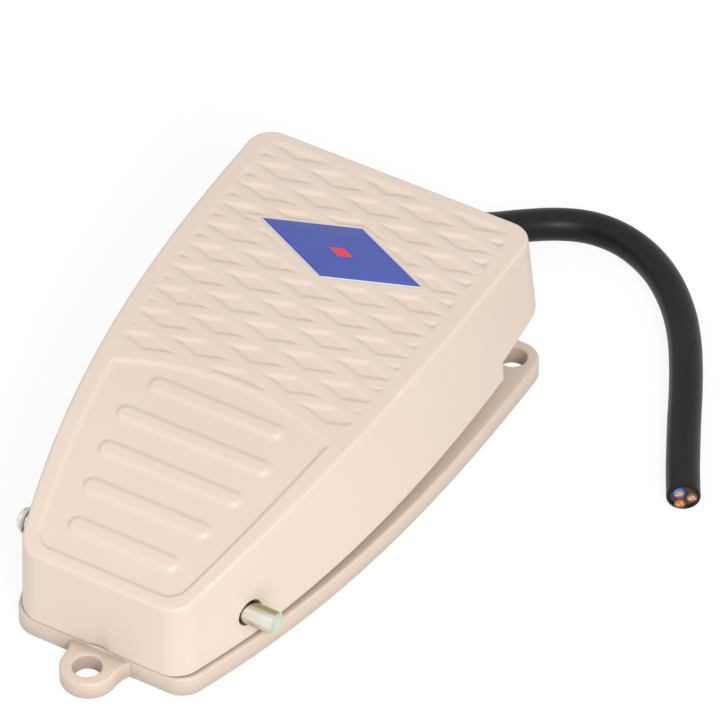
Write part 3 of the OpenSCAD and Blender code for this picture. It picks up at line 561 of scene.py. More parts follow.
def closed_loop(half, across=1):
    """Closed outline from its right half, with the heel and toe edges cut into steps."""
    left = half * (-1, 1, -1) + (0, 0, math.pi)
    u = np.linspace(-1, 1, across + 1)
    heel = np.column_stack([half[0, 0] * u, np.full_like(u, half[0, 1]), np.full_like(u, -math.pi / 2)])
    toe = np.column_stack([-half[-1, 0] * u, np.full_like(u, half[-1, 1]), np.full_like(u, math.pi / 2)])
    return np.vstack([heel, half[1:-1], toe, left[-2:0:-1]])


def pushed(outline, out):
    """x and y of an outline moved outwards."""
    return outline[:, :2] + np.asarray(out).reshape(-1, 1) * np.column_stack(
        [np.cos(outline[:, 2]), np.sin(outline[:, 2])])


def slab(name, outline, low, high, round_low=0.0, round_high=0.0, steps=5):
    """An outline made solid between two heights, with rounded rims."""
    def at(out, z):
        flat = pushed(outline, out)
        return np.column_stack([flat, np.full(len(flat), z)])
    bend = np.linspace(0, math.pi / 2, steps + 1)
    rings = [at(0, low), at(0, high)]
    if round_low:
        rings[:1] = [at(-round_low * (1 - math.sin(b)), low + round_low * (1 - math.cos(b))) for b in bend]
    if round_high:
        rings[-1:] = [
            at(-round_high * (1 - math.cos(b)), high - round_high * (1 - math.sin(b))) for b in bend]
    return Shell().loft(rings).piece(name)


def eased(low, high, value):
    """A smooth climb from 0 to 1."""
    t = np.clip((value - low) / (high - low), 0, 1)
    return t * t * (3 - 2 * t)


def rhombus_distance(x, y, half_long, half_high):
    """Distance inside a rhombus, negative outside."""
    return (1 - np.abs(x) / half_long - np.abs(y) / half_high) / math.hypot(1 / half_long, 1 / half_high)


def plate_axes(tread, x, y):
    """Coordinates along the name plate's two diagonals."""
    c, s = math.cos(-tread.plate_turn), math.sin(-tread.plate_turn)
    x, y = x - tread.plate_x, y - tread.plate_y
    return x * c + y * s, -x * s + y * c


def panel_distance(form, tread, x, y):
    """Distance inside the border's inner edge, negative on the border."""
    side = half_width(form, form.heel_width - 2 * tread.heel_border, form.toe_width - 2 * tread.toe_border,
                      y) - np.abs(x)
    end = np.minimum(y - 0.9 * tread.heel_border, form.length - 0.7 * tread.toe_border - y)
    r = np.where(y < tread.lip_y, tread.panel_corner, form.toe_corner / 2)
    corner = r - np.hypot(np.maximum(r - side, 0), np.maximum(r - end, 0))
    return np.where((side < r) & (end < r), corner, np.minimum(side, end))


def relief(form, tread, x, y):
    """Height over the smooth top: a sunk heel panel with raised bars, and a tread of sunk diamonds."""
    panel = panel_distance(form, tread, x, y)
    lip = tread.lip_radius - np.hypot(x, y - (tread.lip_y - tread.lip_radius))
    sunk = eased(0, tread.soft, np.minimum(panel, lip))
    for i, share in enumerate(BAR_SHARES):
        half = share * form.heel_width - 0.42 * tread.bar_width
        v = y - tread.bar_y - i * tread.bar_pitch
        bar = tread.bar_width / 2 - np.hypot(np.maximum(np.abs(x) - half, 0), v)
        soft = tread.soft + (tread.slope - tread.soft) * eased(-tread.soft, tread.soft, v)
        sunk = np.minimum(sunk, 1 - eased(-soft * 0.3, soft * 0.7, bar))
    share = 1 - tread.rib / tread.diamond_y
    long, high = share * tread.diamond_x, share * tread.diamond_y / 2
    inside, soft = np.full_like(x, -1.0), np.full_like(x, tread.soft)
    for shift in (0, 1):
        u = x - shift * tread.diamond_x
        v = y - tread.diamond_start - shift * tread.diamond_y / 2
        u = u - 2 * tread.diamond_x * np.round(u / (2 * tread.diamond_x))
        v = v - tread.diamond_y * np.round(v / tread.diamond_y)
        near = rhombus_distance(u, v, long, high)
        gentle = tread.slope + (tread.soft - tread.slope) * eased(-tread.soft, tread.soft, v)
        soft = np.where(near > inside, gentle, soft)
        inside = np.maximum(inside, near)
    pad = rhombus_distance(*plate_axes(tread, x, y), tread.pad_share * tread.plate_length / 2,
                           tread.pad_share * tread.plate_height / 2)
    inside = np.minimum.reduce([inside, panel, -lip - tread.lip_flat, -pad])
    dips = eased(-soft * 0.25, soft * 0.75, inside)
    return -tread.panel_depth * sunk - tread.diamond_depth * dips


# Materials
def group(name, inputs, outputs):
    """An empty shader node group with named sockets."""
    tree = bpy.data.node_groups.new(name, "ShaderNodeTree")
    for label, kind, value in inputs:
        socket = tree.interface.new_socket(name=label, in_out="INPUT", socket_type=kind)
        socket.default_value = value
    for label, kind in outputs:
        tree.interface.new_socket(name=label, in_out="OUTPUT", socket_type=kind)
    return tree, tree.nodes.new("NodeGroupInput"), tree.nodes.new("NodeGroupOutput")


def maths(tree, operation, a, b=None, clamp=False):
    """A Math node's output from numbers or sockets."""
    node = tree.nodes.new("ShaderNodeMath")
    node.operation = operation
    node.use_clamp = clamp
    for socket, value in zip(node.inputs, (a, b)):
        if isinstance(value, bpy.types.NodeSocket):
            tree.links.new(value, socket)
        elif value is not None:
            socket.default_value = value
    return node.outputs[0]


def mixed(tree, share, a, b):
    """A mix of two colours."""
    node = tree.nodes.new("ShaderNodeMix")
    node.data_type = "RGBA"
    for socket, value in zip((node.inputs[0], node.inputs[6], node.inputs[7]), (share, a, b)):
        if isinstance(value, bpy.types.NodeSocket):
            tree.links.new(value, socket)
        else:
            socket.default_value = value
    return node.outputs[2]


def blended(tree, share, a, b, target):
    """Sends a mix of two shaders, or of two backgrounds, to an output node."""
    node = tree.nodes.new("ShaderNodeMixShader")
    for value, socket in zip((share, a, b), node.inputs):
        tree.links.new(value, socket)
    if target:
        tree.links.new(node.outputs[0], tree.nodes[target].inputs["Surface"])
    return node.outputs[0]


def noise(tree, place, scale, detail):
    """A Noise Texture's value over object space."""
    node = tree.nodes.new("ShaderNodeTexNoise")
    tree.links.new(place, node.inputs["Vector"])
    if isinstance(scale, bpy.types.NodeSocket):
        tree.links.new(scale, node.inputs["Scale"])
    else:
        node.inputs["Scale"].default_value = scale
    node.inputs["Detail"].default_value = detail
    return node.outputs[0]


def build_groups():
    """The effects that materials share: uneven colour, surface grain, and by shape painted highlights with
    wear on edges and painted shade with dust in hollows.
    """
    if "Uneven colour" in bpy.data.node_groups:
        return
    tree, given, out = group("Uneven colour", [
        ("Colour", "NodeSocketColor", (1, 1, 1, 1)), ("Second colour", "NodeSocketColor", (1, 1, 1, 1)),
        ("Scale", "NodeSocketFloat", 40.0), ("Amount", "NodeSocketFloat", 0.5)],
        [("Colour", "NodeSocketColor")])
    place = tree.nodes.new("ShaderNodeTexCoord").outputs["Object"]
    cloud = noise(tree, place, given.outputs["Scale"], 4.0)
    spread = maths(tree, "MULTIPLY", maths(tree, "SUBTRACT", cloud, 0.35), 3.0, clamp=True)
    share = maths(tree, "MULTIPLY", spread, given.outputs["Amount"], clamp=True)
    tint = mixed(tree, share, given.outputs["Colour"], given.outputs["Second colour"])
    tree.links.new(tint, out.inputs[0])

    tree, given, out = group("Grain", [
        ("Scale", "NodeSocketFloat", 600.0), ("Roughness", "NodeSocketFloat", 0.4),
        ("Spread", "NodeSocketFloat", 0.1)],
        [("Height", "NodeSocketFloat"), ("Roughness", "NodeSocketFloat")])
    place = tree.nodes.new("ShaderNodeTexCoord").outputs["Object"]
    coarse = noise(tree, place, given.outputs["Scale"], 2.0)
    fine = noise(tree, place, maths(tree, "MULTIPLY", given.outputs["Scale"], 3.7), 3.0)
    tree.links.new(maths(tree, "ADD", coarse, maths(tree, "MULTIPLY", fine, 0.35)), out.inputs[0])
    wide = noise(tree, place, maths(tree, "MULTIPLY", given.outputs["Scale"], 0.12), 5.0)
    change = maths(tree, "MULTIPLY", maths(tree, "SUBTRACT", wide, 0.5), given.outputs["Spread"])
    tree.links.new(maths(tree, "ADD", given.outputs["Roughness"], change), out.inputs[1])

    tree, given, out = group("Painted light and wear by shape", [
        ("Colour", "NodeSocketColor", (1, 1, 1, 1)), ("Edge colour", "NodeSocketColor", (1, 1, 1, 1)),
        ("Dust colour", "NodeSocketColor", (0.3, 0.25, 0.2, 1)), ("Edge", "NodeSocketFloat", 0.3),
        ("Dust", "NodeSocketFloat", 0.3)], [("Colour", "NodeSocketColor")])
    shape = tree.nodes.new("ShaderNodeNewGeometry").outputs["Pointiness"]
    # Lighter colour on sharp edges, found by pointiness: a painted highlight along the rims, and wear.
    rim = maths(tree, "MULTIPLY", maths(tree, "SUBTRACT", shape, 0.515), 14.0, clamp=True)
    # Darker colour in creases, found by pointiness, and where ambient occlusion finds the surface closed in:
    # painted shade, and dust.
    hollow = maths(tree, "MULTIPLY", maths(tree, "SUBTRACT", 0.485, shape), 14.0, clamp=True)
    open_air = tree.nodes.new("ShaderNodeAmbientOcclusion")
    open_air.inputs["Distance"].default_value = 0.007
    closed = maths(tree, "SUBTRACT", 1.0, open_air.outputs["AO"])
    hollow = maths(tree, "MAXIMUM", hollow, maths(tree, "MULTIPLY", maths(tree, "POWER", closed, 1.6), 1.7))
    highlighted_and_worn = mixed(tree, maths(tree, "MULTIPLY", rim, given.outputs["Edge"], clamp=True),
                 given.outputs["Colour"], given.outputs["Edge colour"])
    shaded_and_dusty = mixed(tree, maths(tree, "MULTIPLY", hollow, given.outputs["Dust"], clamp=True),
                  highlighted_and_worn, given.outputs["Dust colour"])
    tree.links.new(shaded_and_dusty, out.inputs[0])


def placed(tree, name, **values):
    """A shared group in a material, with its own values."""
    node = tree.nodes.new("ShaderNodeGroup")
    node.node_tree = bpy.data.node_groups[name]
    for label, value in values.items():
        socket = node.inputs[label.replace("_", " ").capitalize()]
        if isinstance(value, bpy.types.NodeSocket):
            tree.links.new(value, socket)
        else:
            socket.default_value = value
    return node


def surface(name, first, second, scale=40.0, amount=0.5, grain=600.0, depth=0.00003, roughness=0.4,
            spread=0.1, metallic=0.0, coat=0.0, edge=None, edge_highlight_and_wear=0.0, dust=0.0, specular=0.5):
    """A material with uneven colour, grain in its gloss and its height, and by shape painted highlights with
    wear on edges and painted shade with dust in hollows.
    """
    if name in bpy.data.materials:
        return bpy.data.materials[name]
    build_groups()
    made = bpy.data.materials.new(name)
    made.use_nodes = True
    tree = made.node_tree
    shader = tree.nodes["Principled BSDF"]
    shader.inputs["Metallic"].default_value = metallic
    shader.inputs["Coat Weight"].default_value = coat
    shader.inputs["Coat Roughness"].default_value = 0.12
    shader.inputs["Specular IOR Level"].default_value = specular
    tint = placed(tree, "Uneven colour", colour=tuple(first), second_colour=tuple(second), scale=scale,
                  amount=amount).outputs[0]
    # Edges lightened as a painted highlight with wear, hollows darkened as painted shade with dust.
    if edge is not None or dust:
        tint = placed(tree, "Painted light and wear by shape", colour=tint, edge_colour=tuple(edge or first),
                      dust_colour=dimmed(second, 0.3), edge=edge_highlight_and_wear,
                      dust=dust).outputs[0]
    tree.links.new(tint, shader.inputs["Base Color"])
    skin = placed(tree, "Grain", scale=grain, roughness=roughness, spread=spread)
    tree.links.new(skin.outputs["Roughness"], shader.inputs["Roughness"])
    bump = tree.nodes.new("ShaderNodeBump")
    bump.inputs["Strength"].default_value = 1.0
    bump.inputs["Distance"].default_value = depth
    tree.links.new(skin.outputs["Height"], bump.inputs["Height"])
    tree.links.new(bump.outputs[0], shader.inputs["Normal"])
    return made


def dimmed(tint, share):
    """A colour at a share of its light."""
    return tuple(share * c for c in tint[:3]) + (1,)


def enamel(finish):
    # The light edge colour is a painted highlight on the rims; the dark hollows are painted shade with dust.
    return surface("cream enamel", finish.enamel, finish.enamel_aged, scale=22.0, amount=0.35, grain=520.0,
                   depth=0.000035, roughness=0.4, spread=0.12, edge=(0.93, 0.82, 0.72, 1), edge_highlight_and_wear=0.4,
                   dust=0.5, specular=0.5)


def shaded_base_enamel(finish):
    # The pedal's cream made darker, as painted shade on the base.
    return surface("cream enamel of the base with painted shade", finish.shaded_base_enamel, finish.enamel_aged, scale=22.0,
                   amount=0.3, grain=520.0, depth=0.000035, roughness=0.42, spread=0.12,
                   edge=tuple(finish.enamel), edge_highlight_and_wear=0.4, dust=0.6, specular=0.45)


def zinc(finish):
    return surface("zinc plating", finish.zinc, finish.zinc_tint, scale=160.0, amount=0.75, grain=900.0,
                   depth=0.00002, roughness=0.27, spread=0.2, metallic=1.0)


def metal(name, tint, shade, scale=300.0, grain=1500.0, roughness=0.25, spread=0.15):
    """A bare metal with fine grain, whose second colour is a shade of the first."""
    return surface(name, tint, dimmed(tint, shade), scale=scale, grain=grain, depth=0.00001,
                   roughness=roughness, spread=spread, metallic=1.0)


def steel(finish):
    return metal("spring steel", finish.steel, 0.75)


def rubber(finish):
    # Lighter edges on the rubber: wear and a painted highlight.
    return surface("black rubber", finish.rubber, dimmed(finish.rubber, 0.6), scale=120.0, grain=900.0,
                   depth=0.00004, roughness=0.6, spread=0.15, edge=dimmed(finish.rubber, 1.8),
                   edge_highlight_and_wear=0.3)


def sheath(finish):
    return surface("cable sheath", finish.sheath, dimmed(finish.sheath, 1.4), scale=60.0, amount=0.6,
                   grain=1100.0, depth=0.00003, roughness=0.4, spread=0.16, specular=0.2)


def moulded(name, tint, gloss=0.38):
    return surface(name, tint, dimmed(tint, 0.8), scale=90.0, amount=0.5, grain=900.0, depth=0.00002,
                   roughness=gloss, spread=0.12)


# Pieces
class FOOT_SWITCH_OT_studio(bpy.types.Operator):
    """Sets the camera, the pale floor and the soft light"""

    bl_idname = "foot_switch.studio"
    bl_label = "Studio"

    def execute(self, context):
        look = context.scene.foot_switch.studio
        self.camera(context, look)
        self.lights(context, look)
        self.floor(context)
        self.sky(context, look)
        context.scene.view_settings.view_transform = "Standard"
        return {"FINISHED"}

    def camera(self, context, look):
        """A long lens at the photograph's viewing angle."""
        data = bpy.data.cameras.new("camera")
        data.lens = look.lens
        data.sensor_width = 36
        data.clip_start = 0.01
        data.clip_end = 20
        camera = bpy.data.objects.new("camera", data)
        level = math.cos(look.elevation)
        back = Vector((math.sin(look.azimuth) * level, -math.cos(look.azimuth) * level,
                       math.sin(look.elevation)))
        right = (-back).cross(Vector((0, 0, 1))).normalized()
        up = right.cross(-back)
        c, s = math.cos(look.roll), math.sin(look.roll)
        turn = Matrix((right * c + up * s, up * c - right * s, back)).transposed().to_4x4()
        target = Vector((look.target_x, look.target_y, 0))
        camera.matrix_world = Matrix.Translation(target + back * look.distance) @ turn
        context.scene.collection.objects.link(camera)
        context.scene.camera = camera

    def lights(self, context, look):
        """Three large soft lamps: front right and low, left and overhead."""
        for name, power, size, place in (
                ("key light", look.key, 0.7, (1.02, -0.86, 1.18)),
                ("fill light", look.fill, 1.2, (-1.2, -0.5, 0.9)),
                ("top light", look.top, 1.4, (-0.1, 0.5, 1.6))):
            data = bpy.data.lights.new(name, "AREA")
            data.energy = power
            data.size = size
            lamp = bpy.data.objects.new(name, data)
            lamp.location = place
            aim = Vector((0.01, 0.08, 0.02)) - Vector(place)
            lamp.rotation_euler = aim.to_track_quat("-Z", "Y").to_euler()
            context.scene.collection.objects.link(lamp)

    def seen_share(self, tree, share):
        """A share of 1 where the camera, a gloss or a clear piece looks, and 0 for the light itself."""
        rays = tree.nodes.new("ShaderNodeLightPath").outputs
        seen = maths(tree, "MAXIMUM", rays["Is Camera Ray"], rays["Is Glossy Ray"])
        return maths(tree, "MULTIPLY", maths(tree, "MAXIMUM", seen, rays["Is Transmission Ray"]), share)

    def floor(self, context):
        """A floor just under the base, which is clear when seen from below."""
        half = 2.0
        shell = Shell()
        corners = ((-half, -half), (half, -half), (half, half), (-half, half))
        shell.cap(shell.add([(x, y, -CLEARANCE) for x, y in corners]))
        floor = shell.piece("studio_floor")
        made = bpy.data.materials.new("pale floor")
        made.use_nodes = True
        tree = made.node_tree
        shader = tree.nodes["Principled BSDF"]
        shader.inputs["Base Color"].default_value = context.scene.foot_switch.finish.floor
        shader.inputs["Roughness"].default_value = 0.9
        shader.inputs["Specular IOR Level"].default_value = 0.0
        glow = tree.nodes.new("ShaderNodeEmission")
        glow.inputs["Strength"].default_value = 1.05
        lit = blended(tree, self.seen_share(tree, 0.84), shader.outputs[0], glow.outputs[0], None)
        below = tree.nodes.new("ShaderNodeNewGeometry").outputs["Backfacing"]
        clear = tree.nodes.new("ShaderNodeBsdfTransparent").outputs[0]
        blended(tree, below, lit, clear, "Material Output")
        floor.data.materials.append(made)

    def sky(self, context, look):
        """Even light, and plain white where the camera or a gloss looks past the floor."""
        world = bpy.data.worlds.new("studio sky")
        context.scene.world = world
        world.use_nodes = True
        tree = world.node_tree
        plain = tree.nodes["Background"]
        plain.inputs["Color"].default_value = (1, 1, 1, 1)
        plain.inputs["Strength"].default_value = look.sky
        white = tree.nodes.new("ShaderNodeBackground")
        white.inputs["Color"].default_value = (1, 1, 1, 1)
        white.inputs["Strength"].default_value = 1.0
        blended(tree, self.seen_share(tree, 1.0), plain.outputs[0], white.outputs[0], "World Output")


class FOOT_SWITCH_OT_cable(bpy.types.Operator):
    """Lays the free cable with its cut end, its cores and copper strands"""

    bl_idname = "foot_switch.cable"
    bl_label = "Cable"

    def execute(self, context):
        settings = context.scene.foot_switch
        size, finish = settings.cable, settings.finish
        radius = size.diameter / 2
        line = smooth_line(CABLE_ROUTE, 0.001)
        line[:, 2] = np.maximum(line[:, 2], radius)
        run, across, up = frames_along(line)
        shell = Shell()
        rim = 0.0004
        rings = tube_rings(line, radius, 48)
        end, side, lift = line[-1], across[-1], up[-1]

        def end_ring(out, r):
            return ring_about(end + run[-1] * out, r, 48, side, lift)

        rings = rings[:-1] + [
            end_ring(-rim, radius), end_ring(-rim * 0.3, radius - rim * 0.3), end_ring(0, radius - rim),
            end_ring(0, radius - size.sheath + rim * 0.5), end_ring(-rim * 0.5, radius - size.sheath),
            end_ring(-size.recess, radius - size.sheath)]
        cable = finished(shell.loft(rings).piece("cable"), sheath(finish), "base", "cable_sheath",
                         "cord_lead")
        pieces = self.cores(size, finish, end, run[-1], side, lift)
        return {"FINISHED"}

    def cores(self, size, finish, end, run, side, lift):
        """Filler, three insulated cores and their copper, seen in the cut end."""
        filler = Shell().loft([
            ring_about(end + run * out, r, 48, side, lift) for out, r in (
                (-2 * size.recess, size.diameter / 2 - size.sheath),
                (-0.9 * size.recess, size.diameter / 2 - size.sheath))]).piece("cable_filler")
        finished(filler, moulded("dark filler", finish.filler, 0.7), "base", "cable_sheath")
        made = [filler]
        colours = (("brown", finish.core_brown), ("grey", finish.core_grey), ("blue", finish.core_blue))
        for (name, tint), turn in zip(colours, (75, 195, 315)):
            a = math.radians(turn)
            middle = end + 0.235 * size.diameter * (side * math.cos(a) + lift * math.sin(a))
            wall = [(-size.recess, size.core), (size.core_out * 0.7, size.core),
                    (size.core_out, size.core * 0.9), (size.core_out, size.copper * 1.02),
                    (-size.recess, size.copper * 1.02)]
            rings = [ring_about(middle + run * out, r, 32, side, lift) for out, r in wall]
            core = Shell().torus(rings).piece(f"core_{name}")
            look = moulded(f"{name} core", tint, 0.45)
            finished(core, look, "base", "core_insulation", *(["core_ends"] if name == "blue" else []))
            made += [core, self.strands(size, finish, name, middle, run, side, lift)]
        return made

    def strands(self, size, finish, name, middle, run, side, lift):
        """A bundle of round strands: one in the middle, and rings of six and twelve."""
        strand = size.copper / 5
        shell = Shell()
        for ring, copies in ((0, 1), (1, 6), (2, 12)):
            for i in range(copies):
                a = FULL_TURN * i / copies + 0.3 * ring
                foot = middle + 2 * ring * strand * (side * math.cos(a) + lift * math.sin(a))
                reach = size.core_out * (1 + 0.25 * math.sin(7.3 * i + ring))
                shell.loft([ring_about(foot + run * out, r, 10, side, lift) for out, r in (
                    (-size.recess, strand * 0.96), (reach - strand * 0.4, strand * 0.96),
                    (reach, strand * 0.6))])
        piece = shell.piece(f"strands_{name}")
        look = surface("cut copper", finish.copper, dimmed(finish.copper, 0.6), scale=2500.0, amount=0.8,
                       grain=3000.0, depth=0.00001, roughness=0.3, spread=0.2, metallic=1.0)
        return finished(piece, look, "base", "copper", *(["copper_ends"] if name == "blue" else []))


class FOOT_SWITCH_OT_pedal(bpy.types.Operator):
    """Builds the cast pedal with its tread, skirt, bosses and pin eyes"""

    bl_idname = "foot_switch.pedal"
    bl_label = "Pedal"

    def execute(self, context):
        settings = context.scene.foot_switch
        form, tread, base, pivot = settings.pedal, settings.tread, settings.base, settings.pivot
        screw_boss, spigot, spigot_reach = 0.006, 0.0035, 0.004
        pedal = self.shell(form, tread, base)
        for side in SIDES:
            wall = self.wall_x(form, pivot.y, pivot.z)
            join(pedal, self.pin_boss(form, pivot, side))
            eye = sorted((side * (wall - pivot.eye_depth), side * form.toe_width))
            cut(pedal, rod("eye", pivot.eye, *eye, (0, pivot.y, pivot.z), "x", 72))
        hole = pivot.radius + CLEARANCE
        cut(pedal, rod("hole", hole, -form.toe_width, form.toe_width, (0, pivot.y, pivot.z), "x", 72))
        low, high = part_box("actuator_screw")
        boss_z, screw_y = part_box("actuator_nut")[1][2] + CLEARANCE, (low[1] + high[1]) / 2
        roof = top_height(form, screw_y) - form.roof / 2
        join(pedal, rod("boss", screw_boss, boss_z, roof, (0, screw_y, 0)))
        cut(pedal, rod("hole", (high[0] - low[0]) / 2 + CLEARANCE, boss_z - MM, high[2] + CLEARANCE,
                       (0, screw_y, 0)))
        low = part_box("return_springs")[1][2] - spigot_reach
        x, y = pair_at("return_springs")
        for side in SIDES:
            join(pedal, rod("spigot", spigot, low, top_height(form, y) - form.roof / 2, (side * x, y, 0)))
        finished(pedal, enamel(settings.finish), "pedal", "cream_paint", "pedal_shell", sharp=38)
        return {"FINISHED"}

    def wall_x(self, form, y, z):
        """Distance from the middle to the outside of the pedal's wall."""
        return half_width(form, form.heel_width, form.toe_width, y) + (
            top_height(form, y) - z) * draft(form, y)

    def pin_boss(self, form, pivot, side):
        """Round boss whose outer end follows the wall."""
        inner = ring_about((side * pivot.boss_in, pivot.y, pivot.z), pivot.boss, 64, (0, 1, 0), (0, 0, 1))
        outer = inner.copy()
        outer[:, 0] = side * (self.wall_x(form, outer[:, 1], outer[:, 2]) - form.wall / 2)
        return Shell().loft([inner, outer]).piece("boss")

    def skirt_height(self, form, base, x, y):
        """Height of the skirt's lower edge, with the arch for the cable."""
        shares, gaps = np.array(SKIRT_GAPS).T
        low = base.plate + np.interp(y / form.length, shares, gaps)
        arch = (np.abs(x) < form.arch_width / 2) & (y > form.length / 2)
        return np.where(arch, np.maximum(low, form.arch_top), low)

    def shell(self, form, tread, base):
        """Top grid, rounded rim, drafted wall, lower edge, inner wall and ceiling as one closed skin."""
        across, corner_steps, side_steps = 180, 14, 330
        rim_steps, wall_steps, edge_steps, inner_steps = 8, 30, 5, 16
        half = right_side(form, (form.heel_width, form.toe_width), (0, form.length),
                          (form.heel_corner, form.toe_corner), corner_steps, side_steps)
        outline = closed_loop(half, across)
        slope = draft(form, outline[:, 1])

        def ring(drop, inset):
            """The outline under the top by drop, wider by the draft and narrower by inset."""
            flat = pushed(outline, drop * slope - inset)
            ring = np.column_stack([flat, top_height(form, flat[:, 1]) - drop])
            return self.scooped(form, base, ring, inset if np.ndim(inset) == 0 else 0)

        reach = np.column_stack([outline[:, :2], np.zeros(len(outline))])
        for _ in range(3):
            bottom = self.skirt_height(form, base, reach[:, 0], reach[:, 1])
            depth = top_height(form, reach[:, 1]) - bottom
            reach = np.column_stack([pushed(outline, depth * slope), bottom])
        shell = Shell()
        inner = pushed(half, -form.edge)
        u = np.linspace(-1, 1, across + 1)
        x = inner[:, :1] * u
        y = np.repeat(inner[:, 1:2], across + 1, axis=1)
        grid = shell.add(np.stack([x, y, top_height(form, y) + relief(form, tread, x, y)], -1))
        shell.sheet(grid)
        last = np.concatenate([grid[0], grid[1:-1, -1], grid[-1, ::-1], grid[-2:0:-1, 0]])
        bend = np.linspace(math.pi / 2, 0, rim_steps)[1:]
        rings = [ring(form.edge * (1 - math.sin(b)), form.edge * (1 - math.cos(b))) for b in bend]
        soft = form.lower_edge
        for t in np.linspace(0, 1, wall_steps)[1:]:
            rings.append(ring(form.edge + t * (depth - soft - form.edge), 0.0))
        for b in np.linspace(0, math.pi / 2, edge_steps)[1:]:
            rings.append(ring(depth - soft * (1 - math.sin(b)), soft * (1 - math.cos(b))))
        for t in np.linspace(1, 0, inner_steps):
            rings.append(ring(form.roof + t * (depth - form.roof), form.wall))
        for points in rings:
            loop = shell.add(points)
            shell.band(last, loop)
            last = loop
        self.ceiling(shell, last, across, len(half))
        return shell.piece("pedal")

    def scooped(self, form, base, ring, inset):
        """The heel wall pushed in round the screw, so that a driver passes."""
        x, y, z = ring.T
        heel_end = 0.01
        t = np.clip((z - base.plate) / form.scoop_height, 0, 1)
        reach = form.scoop_low + (form.scoop_high - form.scoop_low) * t + inset
        hollow = -base.heel_hole + np.sqrt(np.maximum(reach ** 2 - x ** 2, 0))
        blend = 0.0006
        gap = np.maximum(blend - np.abs(hollow - y), 0)
        pushed_in = np.maximum(y, hollow) + gap ** 2 / (4 * blend)
        ring[:, 1] = np.where((y < heel_end) & (np.abs(x) < reach) & (hollow - y > -blend), pushed_in, y)
        return ring

    def ceiling(self, shell, loop, across, rows):
        """Strips from side to side under the top."""
        right = loop[across:across + rows]
        left = np.concatenate([loop[:1], loop[:across + rows + across - 2:-1]])[:rows]
        for i in range(1, rows - 2):
            shell.cap([right[i], right[i + 1], left[i + 1], left[i]])
        shell.cap([*loop[:across + 1], right[1], left[1]])
        shell.cap([right[-2], *loop[across + rows - 1:2 * across + rows], left[-2]])


class FOOT_SWITCH_OT_name_plate(bpy.types.Operator):
    """Lays the blank rhombus plate on the pedal"""

    bl_idname = "foot_switch.name_plate"
    bl_label = "Name plate"

    def execute(self, context):
        settings = context.scene.foot_switch
        form, tread, finish = settings.pedal, settings.tread, settings.finish
        low, high, soft = CLEARANCE, 0.35 * MM, 0.12 * MM
        steps = 24
        shell = Shell()
        layers = [self.rhombus(form, tread, steps, inset, z) for inset, z in (
            (0, low), (0, high - soft), (soft * 0.3, high - soft * 0.3), (soft, high))]
        loops = [shell.add(points) for points in layers]
        for a, b in zip(loops, loops[1:]):
            shell.band(a, b)
        n = len(loops[0])
        for loop in (loops[0], loops[-1]):
            for i in range(n // 2 - 1):
                shell.cap([loop[i], loop[i + 1], loop[n - 2 - i], loop[n - 1 - i]])
        plate = shell.piece("name_plate_print")
        finished(plate, self.look(tread, finish), "pedal", "label_blue", "name_plate")
        return {"FINISHED"}

    def rhombus(self, form, tread, steps, inset, height):
        """The plate's edge over the pedal's top, as a loop from one sharp corner to the other and back."""
        long, high = tread.plate_length / 2 - 2.5 * inset, tread.plate_height / 2 - 1.1 * inset
        t = (np.arange(2 * steps) + 0.5) / steps - 1
        u = t * long
        v = (1 - np.abs(t)) * high
        u, v = np.concatenate([u, u[::-1]]), np.concatenate([-v, v[::-1]])
        c, s = math.cos(tread.plate_turn), math.sin(tread.plate_turn)
        x, y = tread.plate_x + u * c + v * s, tread.plate_y - u * s + v * c
        return np.column_stack([x, y, top_height(form, y) + height])

    def look(self, tread, finish):
        """Blue print with a pale line near its edge and one plain red mark."""
        made = surface("blue label", finish.label, dimmed(finish.label, 0.86), scale=60.0, amount=0.5,
                       grain=800.0, depth=0.00001, roughness=0.3, spread=0.1, coat=0.15)
        tree = made.node_tree
        shader = tree.nodes["Principled BSDF"]
        ground = shader.inputs["Base Color"].links[0].from_socket
        place = tree.nodes.new("ShaderNodeMapping")
        place.vector_type = "TEXTURE"
        place.inputs["Location"].default_value = (tread.plate_x, tread.plate_y, 0)
        place.inputs["Rotation"].default_value = (0, 0, -tread.plate_turn)
        tree.links.new(tree.nodes.new("ShaderNodeTexCoord").outputs["Object"], place.inputs[0])
        size = tree.nodes.new("ShaderNodeVectorMath")
        size.operation = "ABSOLUTE"
        tree.links.new(place.outputs[0], size.inputs[0])
        reach = tree.nodes.new("ShaderNodeVectorMath")
        reach.operation = "DOT_PRODUCT"
        reach.inputs[1].default_value = (2 / tread.plate_length, 2 / tread.plate_height, 0)
        tree.links.new(size.outputs[0], reach.inputs[0])
        out = reach.outputs["Value"]
        line_from, mark_to = 0.975, 0.15
        line = maths(tree, "GREATER_THAN", out, line_from)
        mark = maths(tree, "LESS_THAN", out, mark_to)
        print_colour = mixed(tree, line, ground, tuple(finish.label_line))
        print_colour = mixed(tree, mark, print_colour, tuple(finish.label_mark))
        tree.links.new(print_colour, shader.inputs["Base Color"])
        return made


